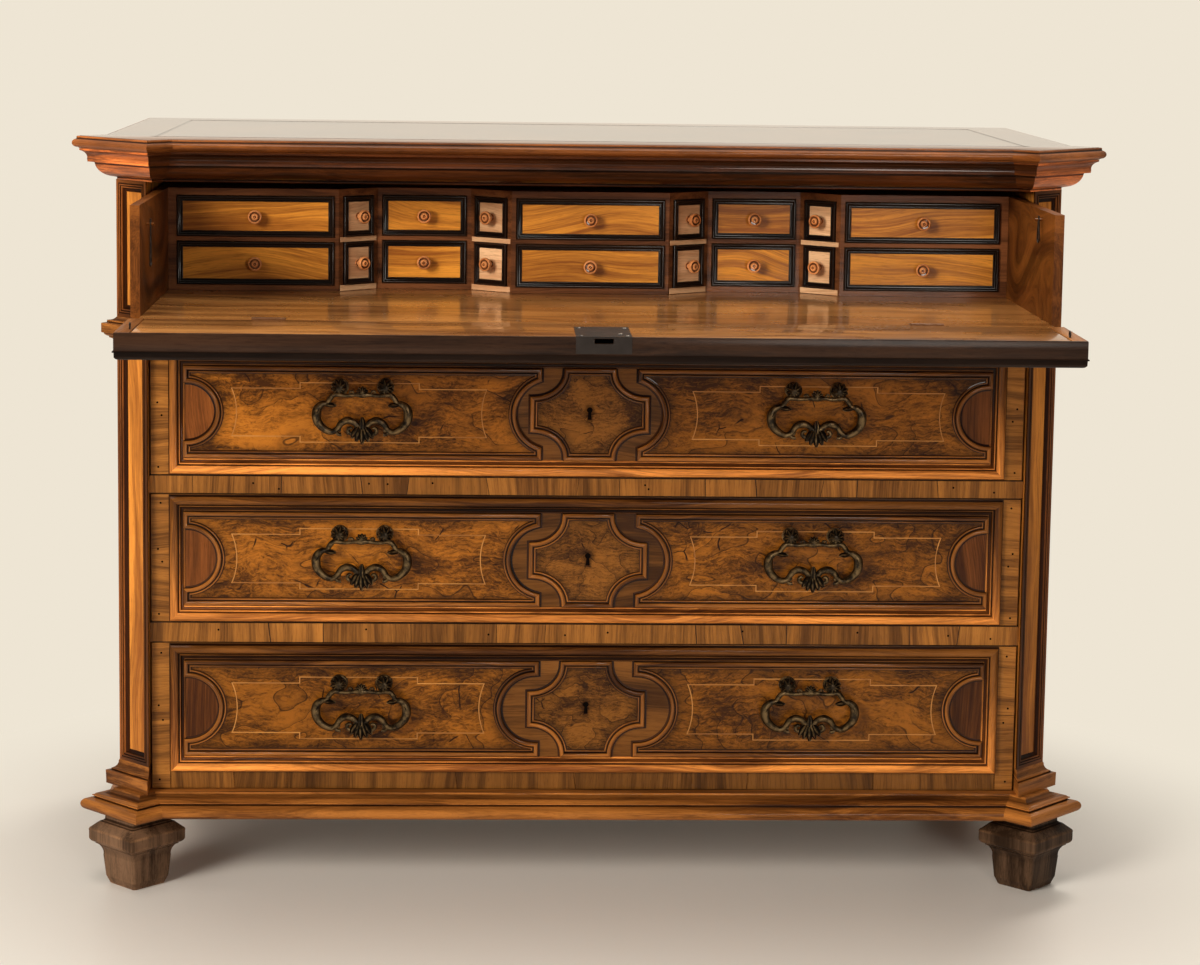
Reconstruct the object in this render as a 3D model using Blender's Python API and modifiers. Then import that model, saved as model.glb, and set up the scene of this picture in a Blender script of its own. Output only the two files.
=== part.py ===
"""Walnut commode with canted corners: a pull-out writing tray with a fall, over three long drawers.

Metres, +Z up, front towards -Y. Shapes are laid out with y = 0 on the plane of the drawer fronts. place() then
moves them by FRONT_Y, so that the commode with its tray drawn out stands centred on the origin.
"""
import math

import bmesh
import bpy
from mathutils import Matrix, Vector

for old in list(bpy.data.objects):
    bpy.data.objects.remove(old, do_unlink=True)

# Clearances
GAP = 0.0003                # between pieces that touch
RUN = 0.001                 # above and below a drawer
DRAWER_PLAY = 0.003         # beside a long drawer
TRAY_PLAY = 0.009           # beside the tray
TRAY_ROOM = 0.0143          # above the tray
TRAY_STOP = 0.005           # behind the tray when it is pushed in
FALL_ROOM = 0.0035          # above the fall when it is shut
CELL_PLAY = 0.0008          # round a small drawer
CELL_BACK = 0.0015          # behind a small drawer
EYE_PLAY = 0.0008           # round a bail in its post
BOLT_PLAY = 0.0005          # round the fall's bolt

# Case from the floor up; the long drawers from the top down: height, plain band under the frame, rail above
FOOT_H = 0.107
BASE_H = 0.033
DRAWERS = ((0.1840, 0.0, 0.0400), (0.1876, 0.0, 0.0262), (0.2167, 0.0245, 0.0290))
TIER_H = 0.1985             # writing tier
CORNICE_H = 0.044
TOP_T = 0.018
CASE_DEPTH = 0.585          # drawer-front plane to the back
CASE_HALF = 0.655           # outer face of a side panel
PANEL_T = 0.021
BACK_T = 0.012
SIDE_FRAME_IN = 0.045       # side panel's moulded frame from its edges
INNER_HALF = CASE_HALF - PANEL_T
BASE_TOP = FOOT_H + BASE_H
DRAWER_LOW, RAIL_LOW = [], []
WAIST = BASE_TOP
for height, band, rail_h in reversed(DRAWERS):
    DRAWER_LOW.insert(0, WAIST + RUN)
    RAIL_LOW.insert(0, WAIST + height + 2 * RUN)
    WAIST += height + 2 * RUN + rail_h
CORNICE_Z = WAIST + TIER_H
TOP_Z = CORNICE_Z + CORNICE_H
HEIGHT = TOP_Z + TOP_T

# Canted corner, along the cant (T) and square to it (N) from where a side would meet the drawer fronts
SHAFT_N = -0.0032
SHAFT_END_T = 0.0418
POST_BACK = math.sqrt(2) * SHAFT_END_T
CORNICE_PLAN = {"mid": -0.0112, "reach": 0.036, "face": 0.0018, "front": -0.022, "side": 0.0}
BASE_PLAN = {"mid": -0.0032, "reach": 0.033, "face": 0.0218, "front": -0.020, "side": 0.015}
CORNICE_IN = 0.060          # cornice's inner side behind the drawer fronts
BASE_LAP = 0.034            # base under the side panels' inner faces
BOTTOM_RISE = 0.005         # bottom board above the feet
FOOT_N = 0.0008
FOOT_IN = 0.035             # back feet from the sides and from the back
FOOT_BACK = 0.062
PANEL_SINK = 0.006          # pilaster panels
PANEL_MARGIN = 0.009
PANEL_SLOPE = 0.008

# Long drawers
DRAWER_HALF = INNER_HALF - DRAWER_PLAY
FRONT_T = 0.022
BOX_T = 0.012
BOX_SHORT = 0.040           # box short of the case's back
BOX_DROP = 0.030            # box side below the front's top
BOX_BACK = CASE_DEPTH - BOX_SHORT
RAIL_T = 0.030
DUST_T = 0.010

# Drawer ornament
STRIP = 0.0275              # crossbanded strip at each end
FRAME_W = 0.021
FRAME_EDGE = 0.003
BEAD = ((-0.0035, -0.001), (-0.0035, 0.0015), (0.0, 0.004), (0.0035, 0.0015), (0.0035, -0.001))
FRAME = ((0.0, -0.001), (0.0, 0.0065), (0.003, 0.0092), (0.008, 0.0095), (0.0125, 0.0065), (0.0135, 0.0045),
         (0.0185, 0.002), (FRAME_W, -0.001))
SHIELD_HALF = 0.081
SHIELD_FLAT = 0.0326
SHIELD_SIDE = 0.0215        # half of the shield's upright edge
SHIELD_GAP = 0.0055         # shield from the frame
PANEL_IN = 0.0745           # panel's inner end from the middle
PANEL_BITE = 0.0549
BITE_FLAT = 0.010           # panel's inner end above and below the bite
PANEL_GAP = 0.0062          # panel from the frame
LUNETTE_GAP = 0.021
KEYHOLE_R = 0.0035
KEYHOLE_UP = 0.003

# Bail handles
HANDLE_X = 0.327
HANDLE_UP = 0.029           # axis above the drawer's middle
POST_X = 0.0325
POST_LIFT = 0.006           # post's middle above the axis
AXIS_OUT = 0.018
BAR_R = 0.0026
BAIL = ((0.0, 0.0, 1.9), (0.010, 0.0, 1.0), (0.0445, 0.0, 1.0), (0.0485, -0.0075, 1.2), (0.0545, -0.0125, 1.5),
        (0.0615, -0.0175, 1.8), (0.0655, -0.028, 2.0), (0.0625, -0.042, 1.9), (0.053, -0.0515, 1.7),
        (0.0425, -0.0545, 1.5), (0.0355, -0.050, 1.3), (0.0295, -0.041, 1.4), (0.0205, -0.037, 1.6),
        (0.010, -0.041, 1.9), (0.0, -0.054, 3.2))
POST = ((0.0, 0.027), (0.007, 0.0255), (0.0115, 0.021), (0.0115, 0.014), (0.007, 0.010), (0.007, 0.004),
        (0.0125, 0.0035), (0.0125, -0.001), (0.0, -0.001))

# Drawer bolts, and the mortises that they shoot into
BOLT = (0.029, 0.0084, 0.020)
BOLT_Y = 0.0125
BOLT_DOWN = 0.0005          # bolt's end below the front's top
MORTISE_PLAY = 0.002
MORTISE_DEEP = 0.013

# Writing tray and fall, drawn out by TRAY_PULL
TRAY_LIFT = 0.0355          # writing surface above the upper rail
FALL_T = 0.025
TRAY_PULL = 0.323
TRAY_SIDE_T = 0.013
SIDE_RISE = 0.0005          # tray sides above the upper rail
SIDE_START = 0.020          # tray sides behind the floor's front edge
SEAM = 0.0005
HINGE_IN = 0.185            # hinges from the ends of the fall
HINGE_LEN = 0.044
HINGE_R = 0.0028
HINGE_PLAY = 0.0006
LEAF = (0.026, 0.0015)
LOCK_HALF = 0.036
LOCK_LEN = 0.108
LOCK_DEEP = 0.012
LOCK_UP = 0.003             # lock's edge plate above the fall's underside
LOCK_PROUD = 0.0004
SELVEDGE = 0.0018
FALL_BOLT = (0.024, 0.027, 0.0062)
FALL_BOLT_DOWN = 0.0055     # bolt's middle below the writing surface
WRITING_Z = WAIST + TRAY_LIFT
FALL_LEN = TIER_H - TRAY_LIFT - FALL_ROOM
TRAY_FRONT = FALL_T - TRAY_PULL
TRAY_BACK = CASE_DEPTH - BACK_T - TRAY_STOP - TRAY_PULL
TRAY_TOP = CORNICE_Z - TRAY_ROOM
TRAY_HALF = INNER_HALF - TRAY_PLAY
SIDE_FRONT = TRAY_FRONT + SIDE_START
HINGE_X = TRAY_HALF - HINGE_IN
FALL_EDGE = TRAY_FRONT - SEAM - FALL_LEN

# Nest of small drawers: half plan as x of each break, forward or set back
NEST_DEPTH = 0.1805
SET_BACK = 0.045
NEST_BREAKS = (0.1145, 0.1745, 0.3105, 0.3655)
RAILS_Z = (0.008, 0.006, 0.010)     # bottom, middle and top rail
ROW_H = 0.064                       # lower row
STILE = 0.006
NEST_BACK_T = 0.008
SMALL_WALL = 0.005
SMALL_FRONT = 0.009
SMALL_FRAME = ((0.0005, -0.001), (0.0005, 0.003), (0.0035, 0.0045), (0.0085, 0.001), (0.0085, -0.001))
KNOB = ((0.0, 0.019), (0.005, 0.0185), (0.0095, 0.015), (0.0085, 0.012), (0.004, 0.010), (0.0035, 0.003),
        (0.0055, -0.001), (0.0, -0.001))
NEST_HALF = TRAY_HALF - TRAY_SIDE_T - GAP
NEST_Y = TRAY_BACK - NEST_DEPTH

# Wire loops on the tray's sides: side, pin behind the side's front and below its top, length of the loop
HOOK_R = 0.0016
HOOKS = {"left": (-1, 0.073, 0.0307, 0.060), "right": (1, 0.083, 0.0127, 0.034)}
HOOK_OUT = 0.006
PIN_R = 0.0018
PIN_LEN = 0.011
PIN_ROOT = 0.002
PIN_PLAY = 0.0006

CUT = 0.005                 # how far a cutter stands clear of what it cuts
FRONT_Y = -(CASE_DEPTH + FALL_EDGE - LOCK_PROUD) / 2

parts = bpy.data.collections.new("Commode")
cutters = bpy.data.collections.new("Commode cutters")
for group in (parts, cutters):
    bpy.context.scene.collection.children.link(group)


def material(name, colour, roughness, metallic=0.0):
    """Principled material with one colour."""
    mat = bpy.data.materials.new(name)
    mat.use_nodes = True
    shader = mat.node_tree.nodes["Principled BSDF"]
    shader.inputs["Base Color"].default_value = (*colour, 1.0)
    shader.inputs["Roughness"].default_value = roughness
    shader.inputs["Metallic"].default_value = metallic
    return mat


WALNUT = material("walnut", (0.30, 0.13, 0.055), 0.35)
WALNUT_DARK = material("dark walnut", (0.17, 0.07, 0.032), 0.4)
CROSSBAND = material("crossbanded walnut", (0.24, 0.10, 0.045), 0.35)
DRAWER_WOOD = material("drawer linings", (0.38, 0.24, 0.12), 0.6)
OLIVE = material("olive wood", (0.36, 0.19, 0.07), 0.35)
BRONZE = material("patinated bronze", (0.16, 0.11, 0.05), 0.45, 0.9)
IRON = material("iron", (0.10, 0.09, 0.085), 0.5, 0.9)


def place(name, mesh, mat=None, origin=(0, 0, 0)):
    """Object of a mesh, with its origin on a given point of the layout; without a material it is a cutter."""
    mesh.name = name
    mesh.transform(Matrix.Translation(-Vector(origin)))
    obj = bpy.data.objects.new(name, mesh)
    obj.location = Vector(origin) + Vector((0, FRONT_Y, 0))
    if mat is None:
        cutters.objects.link(obj)
        obj.hide_render = True
        obj.display_type = "WIRE"
    else:
        parts.objects.link(obj)
        mesh.materials.append(mat)
        mesh.shade_smooth()
        mesh.set_sharp_from_angle(angle=math.radians(35))
    return obj


def finish(bm):
    """Mesh of a bmesh, faces outwards."""
    bmesh.ops.recalc_face_normals(bm, faces=bm.faces)
    mesh = bpy.data.meshes.new("shape")
    bm.to_mesh(mesh)
    bm.free()
    return mesh


def add_box(bm, low, high, matrix=Matrix()):
    """Box between two corners."""
    low, high = Vector(low), Vector(high)
    size = Matrix.Diagonal((*(high - low), 1))
    bmesh.ops.create_cube(bm, matrix=matrix @ Matrix.Translation((low + high) / 2) @ size)


def box(low, high):
    """Mesh of one box."""
    bm = bmesh.new()
    add_box(bm, low, high)
    return finish(bm)


def add_rod(bm, start, length, radius, sides=10, axis="X"):
    """Cylinder along X or Y from a start point."""
    turn = {"X": Matrix.Rotation(math.pi / 2, 4, "Y"), "Y": Matrix.Rotation(-math.pi / 2, 4, "X")}[axis]
    middle = Vector(start) + (Vector((length / 2, 0, 0)) if axis == "X" else Vector((0, length / 2, 0)))
    bmesh.ops.create_cone(bm, cap_ends=True, segments=sides, radius1=radius, radius2=radius, depth=abs(length),
                          matrix=Matrix.Translation(middle) @ turn)


def add_loft(bm, rings, closed=False):
    """Skin over rings of points; open lofts are capped, closed ones join the last ring to the first."""
    loops = [[bm.verts.new(point) for point in ring] for ring in rings]
    pairs = list(zip(loops, loops[1:])) + ([(loops[-1], loops[0])] if closed else [])
    for low, high in pairs:
        for i in range(len(low)):
            j = (i + 1) % len(low)
            bm.faces.new((low[i], low[j], high[j], high[i]))
    if not closed:
        bm.faces.new(reversed(loops[0]))
        bm.faces.new(loops[-1])


def loft(rings):
    """Mesh of one capped loft."""
    bm = bmesh.new()
    add_loft(bm, rings)
    return finish(bm)


def prism_x(section, half, middle=0.0):
    """Section in (y, z), drawn out along X."""
    bm = bmesh.new()
    face = bm.faces.new([bm.verts.new((middle - half, y, z)) for y, z in section])
    drawn = bmesh.ops.extrude_face_region(bm, geom=[face])["geom"]
    bmesh.ops.translate(bm, vec=(2 * half, 0, 0), verts=[v for v in drawn if isinstance(v, bmesh.types.BMVert)])
    return finish(bm)


def arc(centre, radius, start, end, steps):
    """Points of an arc, angles in degrees."""
    angles = [math.radians(start + (end - start) * i / steps) for i in range(steps + 1)]
    return [(centre[0] + radius * math.cos(a), centre[1] + radius * math.sin(a)) for a in angles]


def offset_outline(outline, distance):
    """Closed outline, drawn clockwise, pushed inwards by a distance with mitred corners."""
    moved = []
    for i, point in enumerate(outline):
        here = Vector(point)
        before = (here - Vector(outline[i - 1])).normalized()
        after = (Vector(outline[(i + 1) % len(outline)]) - here).normalized()
        in_a, in_b = Vector((before.y, -before.x)), Vector((after.y, -after.x))
        moved.append(here + (in_a + in_b) * (distance / (1 + in_a.dot(in_b))))
    return moved


def add_moulding(bm, outline, profile, matrix=Matrix()):
    """Profile of (inward, height) run round an outline in (x, z) and standing out towards -Y."""
    rings = []
    for inward, height in profile:
        rings.append([matrix @ Vector((p.x, -height, p.y)) for p in offset_outline(outline, inward)])
    add_loft(bm, rings, closed=True)


def add_turned(bm, profile, matrix, sides=8):
    """Turned shape of (radius, height) points, top first, spun round a matrix's Z."""
    points = [bm.verts.new(matrix @ Vector((radius, 0, height))) for radius, height in profile]
    edges = [bm.edges.new(pair) for pair in zip(points, points[1:])]
    bmesh.ops.spin(bm, geom=points + edges, cent=matrix.translation, axis=matrix.col[2].xyz,
                   angle=2 * math.pi, steps=sides, use_merge=True)
    bmesh.ops.remove_doubles(bm, verts=bm.verts, dist=0.000001)


def rectangle(half_x, low, high):
    """Clockwise rectangle in (x, z)."""
    return [(-half_x, low), (-half_x, high), (half_x, high), (half_x, low)]


def boolean(obj, operand, operation, crossing=False):
    """Live Boolean with an operand in the cutters' collection, whose own shapes may cross."""
    modifier = obj.modifiers.new(operation.lower(), "BOOLEAN")
    modifier.operation = operation
    modifier.object = operand
    modifier.use_self = crossing


def corner(t, n, side=1):
    """Point at T along a cant and N out from the case's corner."""
    return side * (CASE_HALF + (t + n) / math.sqrt(2)), (t - n) / math.sqrt(2)


def plan(offset, mid, reach, face, front, side):
    """Right half of a canted outline, front to back, pushed out by an offset."""
    t0, t1, n = mid - reach - offset, mid + reach + offset, face + offset
    front, side = front - offset, side + offset
    return [(CASE_HALF + math.sqrt(2) * t0 - front, front), corner(t0, n), corner(t1, n),
            (CASE_HALF + side, math.sqrt(2) * t1 - side), (CASE_HALF + side, CASE_DEPTH)]


def mirrored(half):
    """Whole outline from its right half."""
    return half + [(-x, y) for x, y in reversed(half)]


def u_frame(profile, shape, inner_half, inner_y):
    """Moulding of (offset, z) round the front and sides, open at the back."""
    inside = [(inner_half, CASE_DEPTH), (inner_half, inner_y)]
    return loft([[(x, y, z) for x, y in mirrored(plan(offset, **shape) + inside)] for offset, z in profile])


# Top, cornice and base
nose = ((0.036, TOP_Z + GAP), (0.045, TOP_Z + 0.002), (0.0495, TOP_Z + 0.007), (0.0475, TOP_Z + 0.013),
        (0.042, TOP_Z + 0.017), (0.036, HEIGHT))
rings = [[(x, y, z) for x, y in mirrored(plan(offset, **CORNICE_PLAN))] for offset, z in nose]
place("top_board", loft(rings), WALNUT)
cornice_profile = ((0.002, CORNICE_Z), (0.004, CORNICE_Z + 0.004), (0.008, CORNICE_Z + 0.006),
                   (0.011, CORNICE_Z + 0.012), (0.019, CORNICE_Z + 0.018), (0.027, CORNICE_Z + 0.024),
                   (0.029, CORNICE_Z + 0.029), (0.033, CORNICE_Z + 0.030), (0.035, CORNICE_Z + 0.036),
                   (0.041, CORNICE_Z + 0.040), (0.041, TOP_Z))
cornice = place("cornice_moulding", u_frame(cornice_profile, CORNICE_PLAN, INNER_HALF, CORNICE_IN), WALNUT_DARK)
base_profile = ((0.020, FOOT_H), (0.028, FOOT_H + 0.002), (0.032, FOOT_H + 0.009), (0.030, FOOT_H + 0.016),
                (0.024, FOOT_H + 0.0195), (0.019, FOOT_H + 0.020), (0.009, FOOT_H + 0.0235),
                (0.001, FOOT_H + 0.028), (-0.004, BASE_TOP))
place("base_moulding", u_frame(base_profile, BASE_PLAN, INNER_HALF - BASE_LAP, RAIL_T), WALNUT_DARK)

# Boards of the case
bottom_half = INNER_HALF - BASE_LAP - GAP
bottom = box((-bottom_half, RAIL_T + GAP, FOOT_H + BOTTOM_RISE), (bottom_half, CASE_DEPTH, BASE_TOP))
place("bottom_board", bottom, DRAWER_WOOD)
place("back_panel", box((-INNER_HALF + GAP, CASE_DEPTH - BACK_T, BASE_TOP + GAP),
                        (INNER_HALF - GAP, CASE_DEPTH, TOP_Z - GAP)), DRAWER_WOOD)
for side, sign in (("left", -1), ("right", 1)):
    low_x, high_x = sorted((sign * INNER_HALF, sign * CASE_HALF))
    panel = place(f"side_panel_{side}", box((low_x, POST_BACK + GAP, BASE_TOP + GAP),
                                            (high_x, CASE_DEPTH, CORNICE_Z - GAP)), WALNUT)
    bm = bmesh.new()
    middle_y, reach_y = (POST_BACK + CASE_DEPTH) / 2, (CASE_DEPTH - POST_BACK) / 2 - SIDE_FRAME_IN
    turn = Matrix.Translation((sign * CASE_HALF, middle_y, 0)) @ Matrix.Rotation(sign * math.pi / 2, 4, "Z")
    add_moulding(bm, rectangle(reach_y, BASE_TOP + SIDE_FRAME_IN, CORNICE_Z - SIDE_FRAME_IN), FRAME, turn)
    boolean(panel, place(f"side frame {side}", finish(bm)), "UNION")

# Canted pilasters with a sunk panel above and below the waist moulding
pilaster_profile = ((0.014, BASE_TOP + GAP), (0.014, BASE_TOP + 0.020), (0.008, BASE_TOP + 0.026),
                    (0.006, BASE_TOP + 0.032), (0.0, BASE_TOP + 0.036), (0.0, WAIST - 0.0405),
                    (0.006, WAIST - 0.0365), (0.008, WAIST - 0.0305), (0.016, WAIST - 0.0235),
                    (0.016, WAIST - 0.0095), (0.010, WAIST - 0.0045), (0.0, WAIST), (0.0, CORNICE_Z - GAP))
pilaster_panels = ((BASE_TOP + 0.052, WAIST - 0.0555), (WAIST + 0.0165, CORNICE_Z - 0.016))
for side, sign in (("left", -1), ("right", 1)):
    rings = []
    for offset, z in pilaster_profile:
        inner_y = -PANEL_T - math.sqrt(2) * (SHAFT_N + offset)
        outer_x = CASE_HALF + math.sqrt(2) * (SHAFT_END_T + offset) - POST_BACK
        outline = [(INNER_HALF, inner_y), corner(SHAFT_END_T + offset, SHAFT_N + offset), (outer_x, POST_BACK),
                   (INNER_HALF, POST_BACK)]
        rings.append([(sign * x, y, z) for x, y in outline])
    pilaster = place(f"pilaster_{side}", loft(rings), WALNUT)
    inner_t = -math.sqrt(2) * PANEL_T - SHAFT_N
    bm = bmesh.new()
    for low, high in pilaster_panels:
        mouth_t = (inner_t + PANEL_MARGIN, SHAFT_END_T - PANEL_MARGIN)
        mouth = [(mouth_t[0], low), (mouth_t[1], low), (mouth_t[1], high), (mouth_t[0], high)]
        floor_t = (mouth_t[0] + PANEL_SLOPE, mouth_t[1] - PANEL_SLOPE)
        floor_z = (low + PANEL_SLOPE, high - PANEL_SLOPE)
        floor = [(floor_t[0], floor_z[0]), (floor_t[1], floor_z[0]), (floor_t[1], floor_z[1]),
                 (floor_t[0], floor_z[1])]
        levels = ((floor, SHAFT_N - PANEL_SINK), (mouth, SHAFT_N), (mouth, SHAFT_N + CUT))
        add_loft(bm, [[(*corner(t, n, sign), z) for t, z in ring] for ring, n in levels])
    boolean(pilaster, place(f"pilaster panels {side}", finish(bm)), "DIFFERENCE")

# Square feet, a profile turned in four steps; the front pair stands along the cants
foot_profile = ((0.034, FOOT_H - GAP), (0.034, FOOT_H - 0.010), (0.044, FOOT_H - 0.016),
                (0.0505, FOOT_H - 0.024), (0.0505, FOOT_H - 0.036), (0.046, FOOT_H - 0.042),
                (0.040, FOOT_H - 0.045), (0.037, FOOT_H - 0.054), (0.035, FOOT_H - 0.066), (0.034, 0.014),
                (0.029, 0.0))
feet = [(row, side, sign) for row in ("front", "back") for side, sign in (("left", -1), ("right", 1))]
for row, side, sign in feet:
    x, y = sign * (CASE_HALF - FOOT_IN), CASE_DEPTH - FOOT_BACK
    if row == "front":
        x, y = corner(BASE_PLAN["mid"], FOOT_N, sign)
    spin = 0 if row == "front" else math.pi / 4
    bm = bmesh.new()
    points = [bm.verts.new((math.sqrt(2) * half, 0, z)) for half, z in foot_profile]
    ends = [bm.verts.new((0, 0, foot_profile[0][1]))] + points + [bm.verts.new((0, 0, 0))]
    for pair in zip(ends, ends[1:]):
        bm.edges.new(pair)
    mesh = bpy.data.meshes.new("foot")
    bm.to_mesh(mesh)
    bm.free()
    foot = place(f"foot_{row}_{side}", mesh, WALNUT_DARK)
    foot.location = (x, y + FRONT_Y, 0)
    foot.rotation_euler.z = spin
    screw = foot.modifiers.new("turned", "SCREW")
    screw.steps = screw.render_steps = 4
    screw.use_merge_vertices = True
    screw.merge_threshold = 0.00001

# Rails between the drawers, each in one with its dust board, with a mortise for the bolt below
for name, low, (height, band, rail_h) in zip(("upper", "middle", "lower"), RAIL_LOW, DRAWERS):
    high, dust_back = low + rail_h, CASE_DEPTH - BACK_T - GAP
    dust_low = high - DUST_T
    section = [(0, low), (0, high), (dust_back, high), (dust_back, dust_low), (RAIL_T, dust_low), (RAIL_T, low)]
    rail = place(f"rail_{name}", prism_x(section, INNER_HALF - GAP), CROSSBAND)
    half_x, half_y = BOLT[0] / 2 + MORTISE_PLAY, BOLT[1] / 2 + MORTISE_PLAY
    mortise = box((-half_x, BOLT_Y - half_y, low - CUT), (half_x, BOLT_Y + half_y, low + MORTISE_DEEP))
    boolean(rail, place(f"mortise {name}", mortise), "DIFFERENCE")


def panel_outline(sign, reach, half, lunette):
    """Burl panel: a rectangle bitten by a half disc at the frame and by a wider arc at the shield, clockwise."""
    end_x = reach - FRAME_W - PANEL_GAP / 2
    lean = math.degrees(math.asin(min(1.0, (half - BITE_FLAT) / PANEL_BITE)))
    centre_x = PANEL_IN - PANEL_BITE * math.cos(math.radians(lean))
    inner = [(PANEL_IN, -half)] + arc((centre_x, 0), PANEL_BITE, -lean, lean, 10) + [(PANEL_IN, half)]
    outer = arc((end_x, 0), lunette, 90, 270, 10)
    points = inner + [(end_x, half)] + outer + [(end_x, -half)]
    return points if sign > 0 else [(-x, z) for x, z in reversed(points)]


def shield_outline(half):
    """Middle panel with four hollow corners, clockwise."""
    hollow_x, hollow_z = SHIELD_HALF - SHIELD_FLAT, half - SHIELD_SIDE
    points = []
    for sx, sz, start in ((-1, -1, 0), (-1, 1, 270), (1, 1, 180), (1, -1, 90)):
        hollow = arc((0, 0), 1, start, start + 90, 5)
        points += [(sx * SHIELD_HALF + x * hollow_x, sz * half + z * hollow_z) for x, z in hollow]
    return points


def ornament(obj, reach, low, high, matrix=Matrix()):
    """Joins to a front its moulded frame of a half width, two burl panels' beads and the shield's bead."""
    half = (high - low) / 2 - FRAME_W
    lift = matrix @ Matrix.Translation((0, 0, (low + high) / 2))
    runs = {"frame": (rectangle(reach, low, high), FRAME, matrix),
            "left bead": (panel_outline(-1, reach, half - PANEL_GAP, half - LUNETTE_GAP), BEAD, lift),
            "right bead": (panel_outline(1, reach, half - PANEL_GAP, half - LUNETTE_GAP), BEAD, lift),
            "shield bead": (shield_outline(half - SHIELD_GAP), BEAD, lift)}
    for run, (outline, profile, stand) in runs.items():
        bm = bmesh.new()
        add_moulding(bm, outline, profile, stand)
        boolean(obj, place(f"{obj.name} {run}", finish(bm)), "UNION", crossing=True)


# Long drawers with their handles and bolts
for number, (low, (height, band, rail_h)) in enumerate(zip(DRAWER_LOW, DRAWERS), 1):
    high = low + height
    frame_low, frame_high = low + band + FRAME_EDGE, high - FRAME_EDGE
    middle = (frame_low + frame_high) / 2
    axis_z = middle + HANDLE_UP
    origin = (0, 0, middle)
    board = box((-DRAWER_HALF, 0, low), (DRAWER_HALF, FRONT_T, high))
    front = place(f"drawer_{number}_front", board, WALNUT, origin)
    post_x = [side * HANDLE_X + end * POST_X for side in (-1, 1) for end in (-1, 1)]
    ornament(front, DRAWER_HALF - STRIP, frame_low, frame_high)
    bm = bmesh.new()
    forward = Matrix.Rotation(math.pi / 2, 4, "X")
    for x in post_x:
        add_turned(bm, POST, Matrix.Translation((x, 0, axis_z + POST_LIFT)) @ forward)
    boolean(front, place(f"drawer {number} posts", finish(bm)), "UNION", crossing=True)
    bm = bmesh.new()
    for x in post_x:
        eye_reach = POST[2][0] + CUT / 2
        add_rod(bm, (x - eye_reach, -AXIS_OUT, axis_z), 2 * eye_reach, BAR_R + EYE_PLAY, 8)
    bolt_top = high - BOLT_DOWN
    add_box(bm, (-BOLT[0] / 2 - GAP, BOLT_Y - BOLT[1] / 2 - GAP, bolt_top - BOLT[2] - RUN),
            (BOLT[0] / 2 + GAP, BOLT_Y + BOLT[1] / 2 + GAP, high + CUT))
    add_rod(bm, (0, -CUT, middle + KEYHOLE_UP), CUT + BOLT_Y - BOLT[1] / 2, KEYHOLE_R, 8, "Y")
    boolean(front, place(f"drawer {number} holes", finish(bm)), "DIFFERENCE", crossing=True)
    bolt_x, bolt_back = BOLT[0] / 2, BOLT_Y + BOLT[1] / 2
    bolt = box((-bolt_x, bolt_back - BOLT[1], bolt_top - BOLT[2]), (bolt_x, bolt_back, bolt_top))
    place(f"drawer_{number}_bolt", bolt, IRON, (0, BOLT_Y, bolt_top))
    seat = (BASE_TOP if number == len(DRAWERS) else low - RUN) + GAP
    box_half = DRAWER_HALF - RUN
    lining_box = box((-box_half, FRONT_T + GAP, seat), (box_half, BOX_BACK, high - BOX_DROP))
    lining = place(f"drawer_{number}_box", lining_box, DRAWER_WOOD, origin)
    hollow = box((-box_half + BOX_T, FRONT_T + BOX_T, low + BOX_T), (box_half - BOX_T, BOX_BACK - BOX_T, high))
    boolean(lining, place(f"drawer {number} hollow", hollow), "DIFFERENCE")
    for side, x in (("left", -HANDLE_X), ("right", HANDLE_X)):
        curve = bpy.data.curves.new(f"bail_{number}_{side}", "CURVE")
        curve.dimensions = "3D"
        curve.bevel_depth = BAR_R
        curve.bevel_resolution = 1
        half_loop = list(BAIL)
        loop = half_loop + [(-px, pz, swell) for px, pz, swell in reversed(half_loop[1:-1])]
        spline = curve.splines.new("POLY")
        spline.use_cyclic_u = True
        spline.points.add(len(loop) - 1)
        for point, (px, pz, swell) in zip(spline.points, loop):
            point.co = (px, 0, pz, 1)
            point.radius = swell
        curve.materials.append(BRONZE)
        bail = bpy.data.objects.new(f"bail_{number}_{side}", curve)
        bail.location = (x, FRONT_Y - AXIS_OUT, axis_z)
        parts.objects.link(bail)

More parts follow.
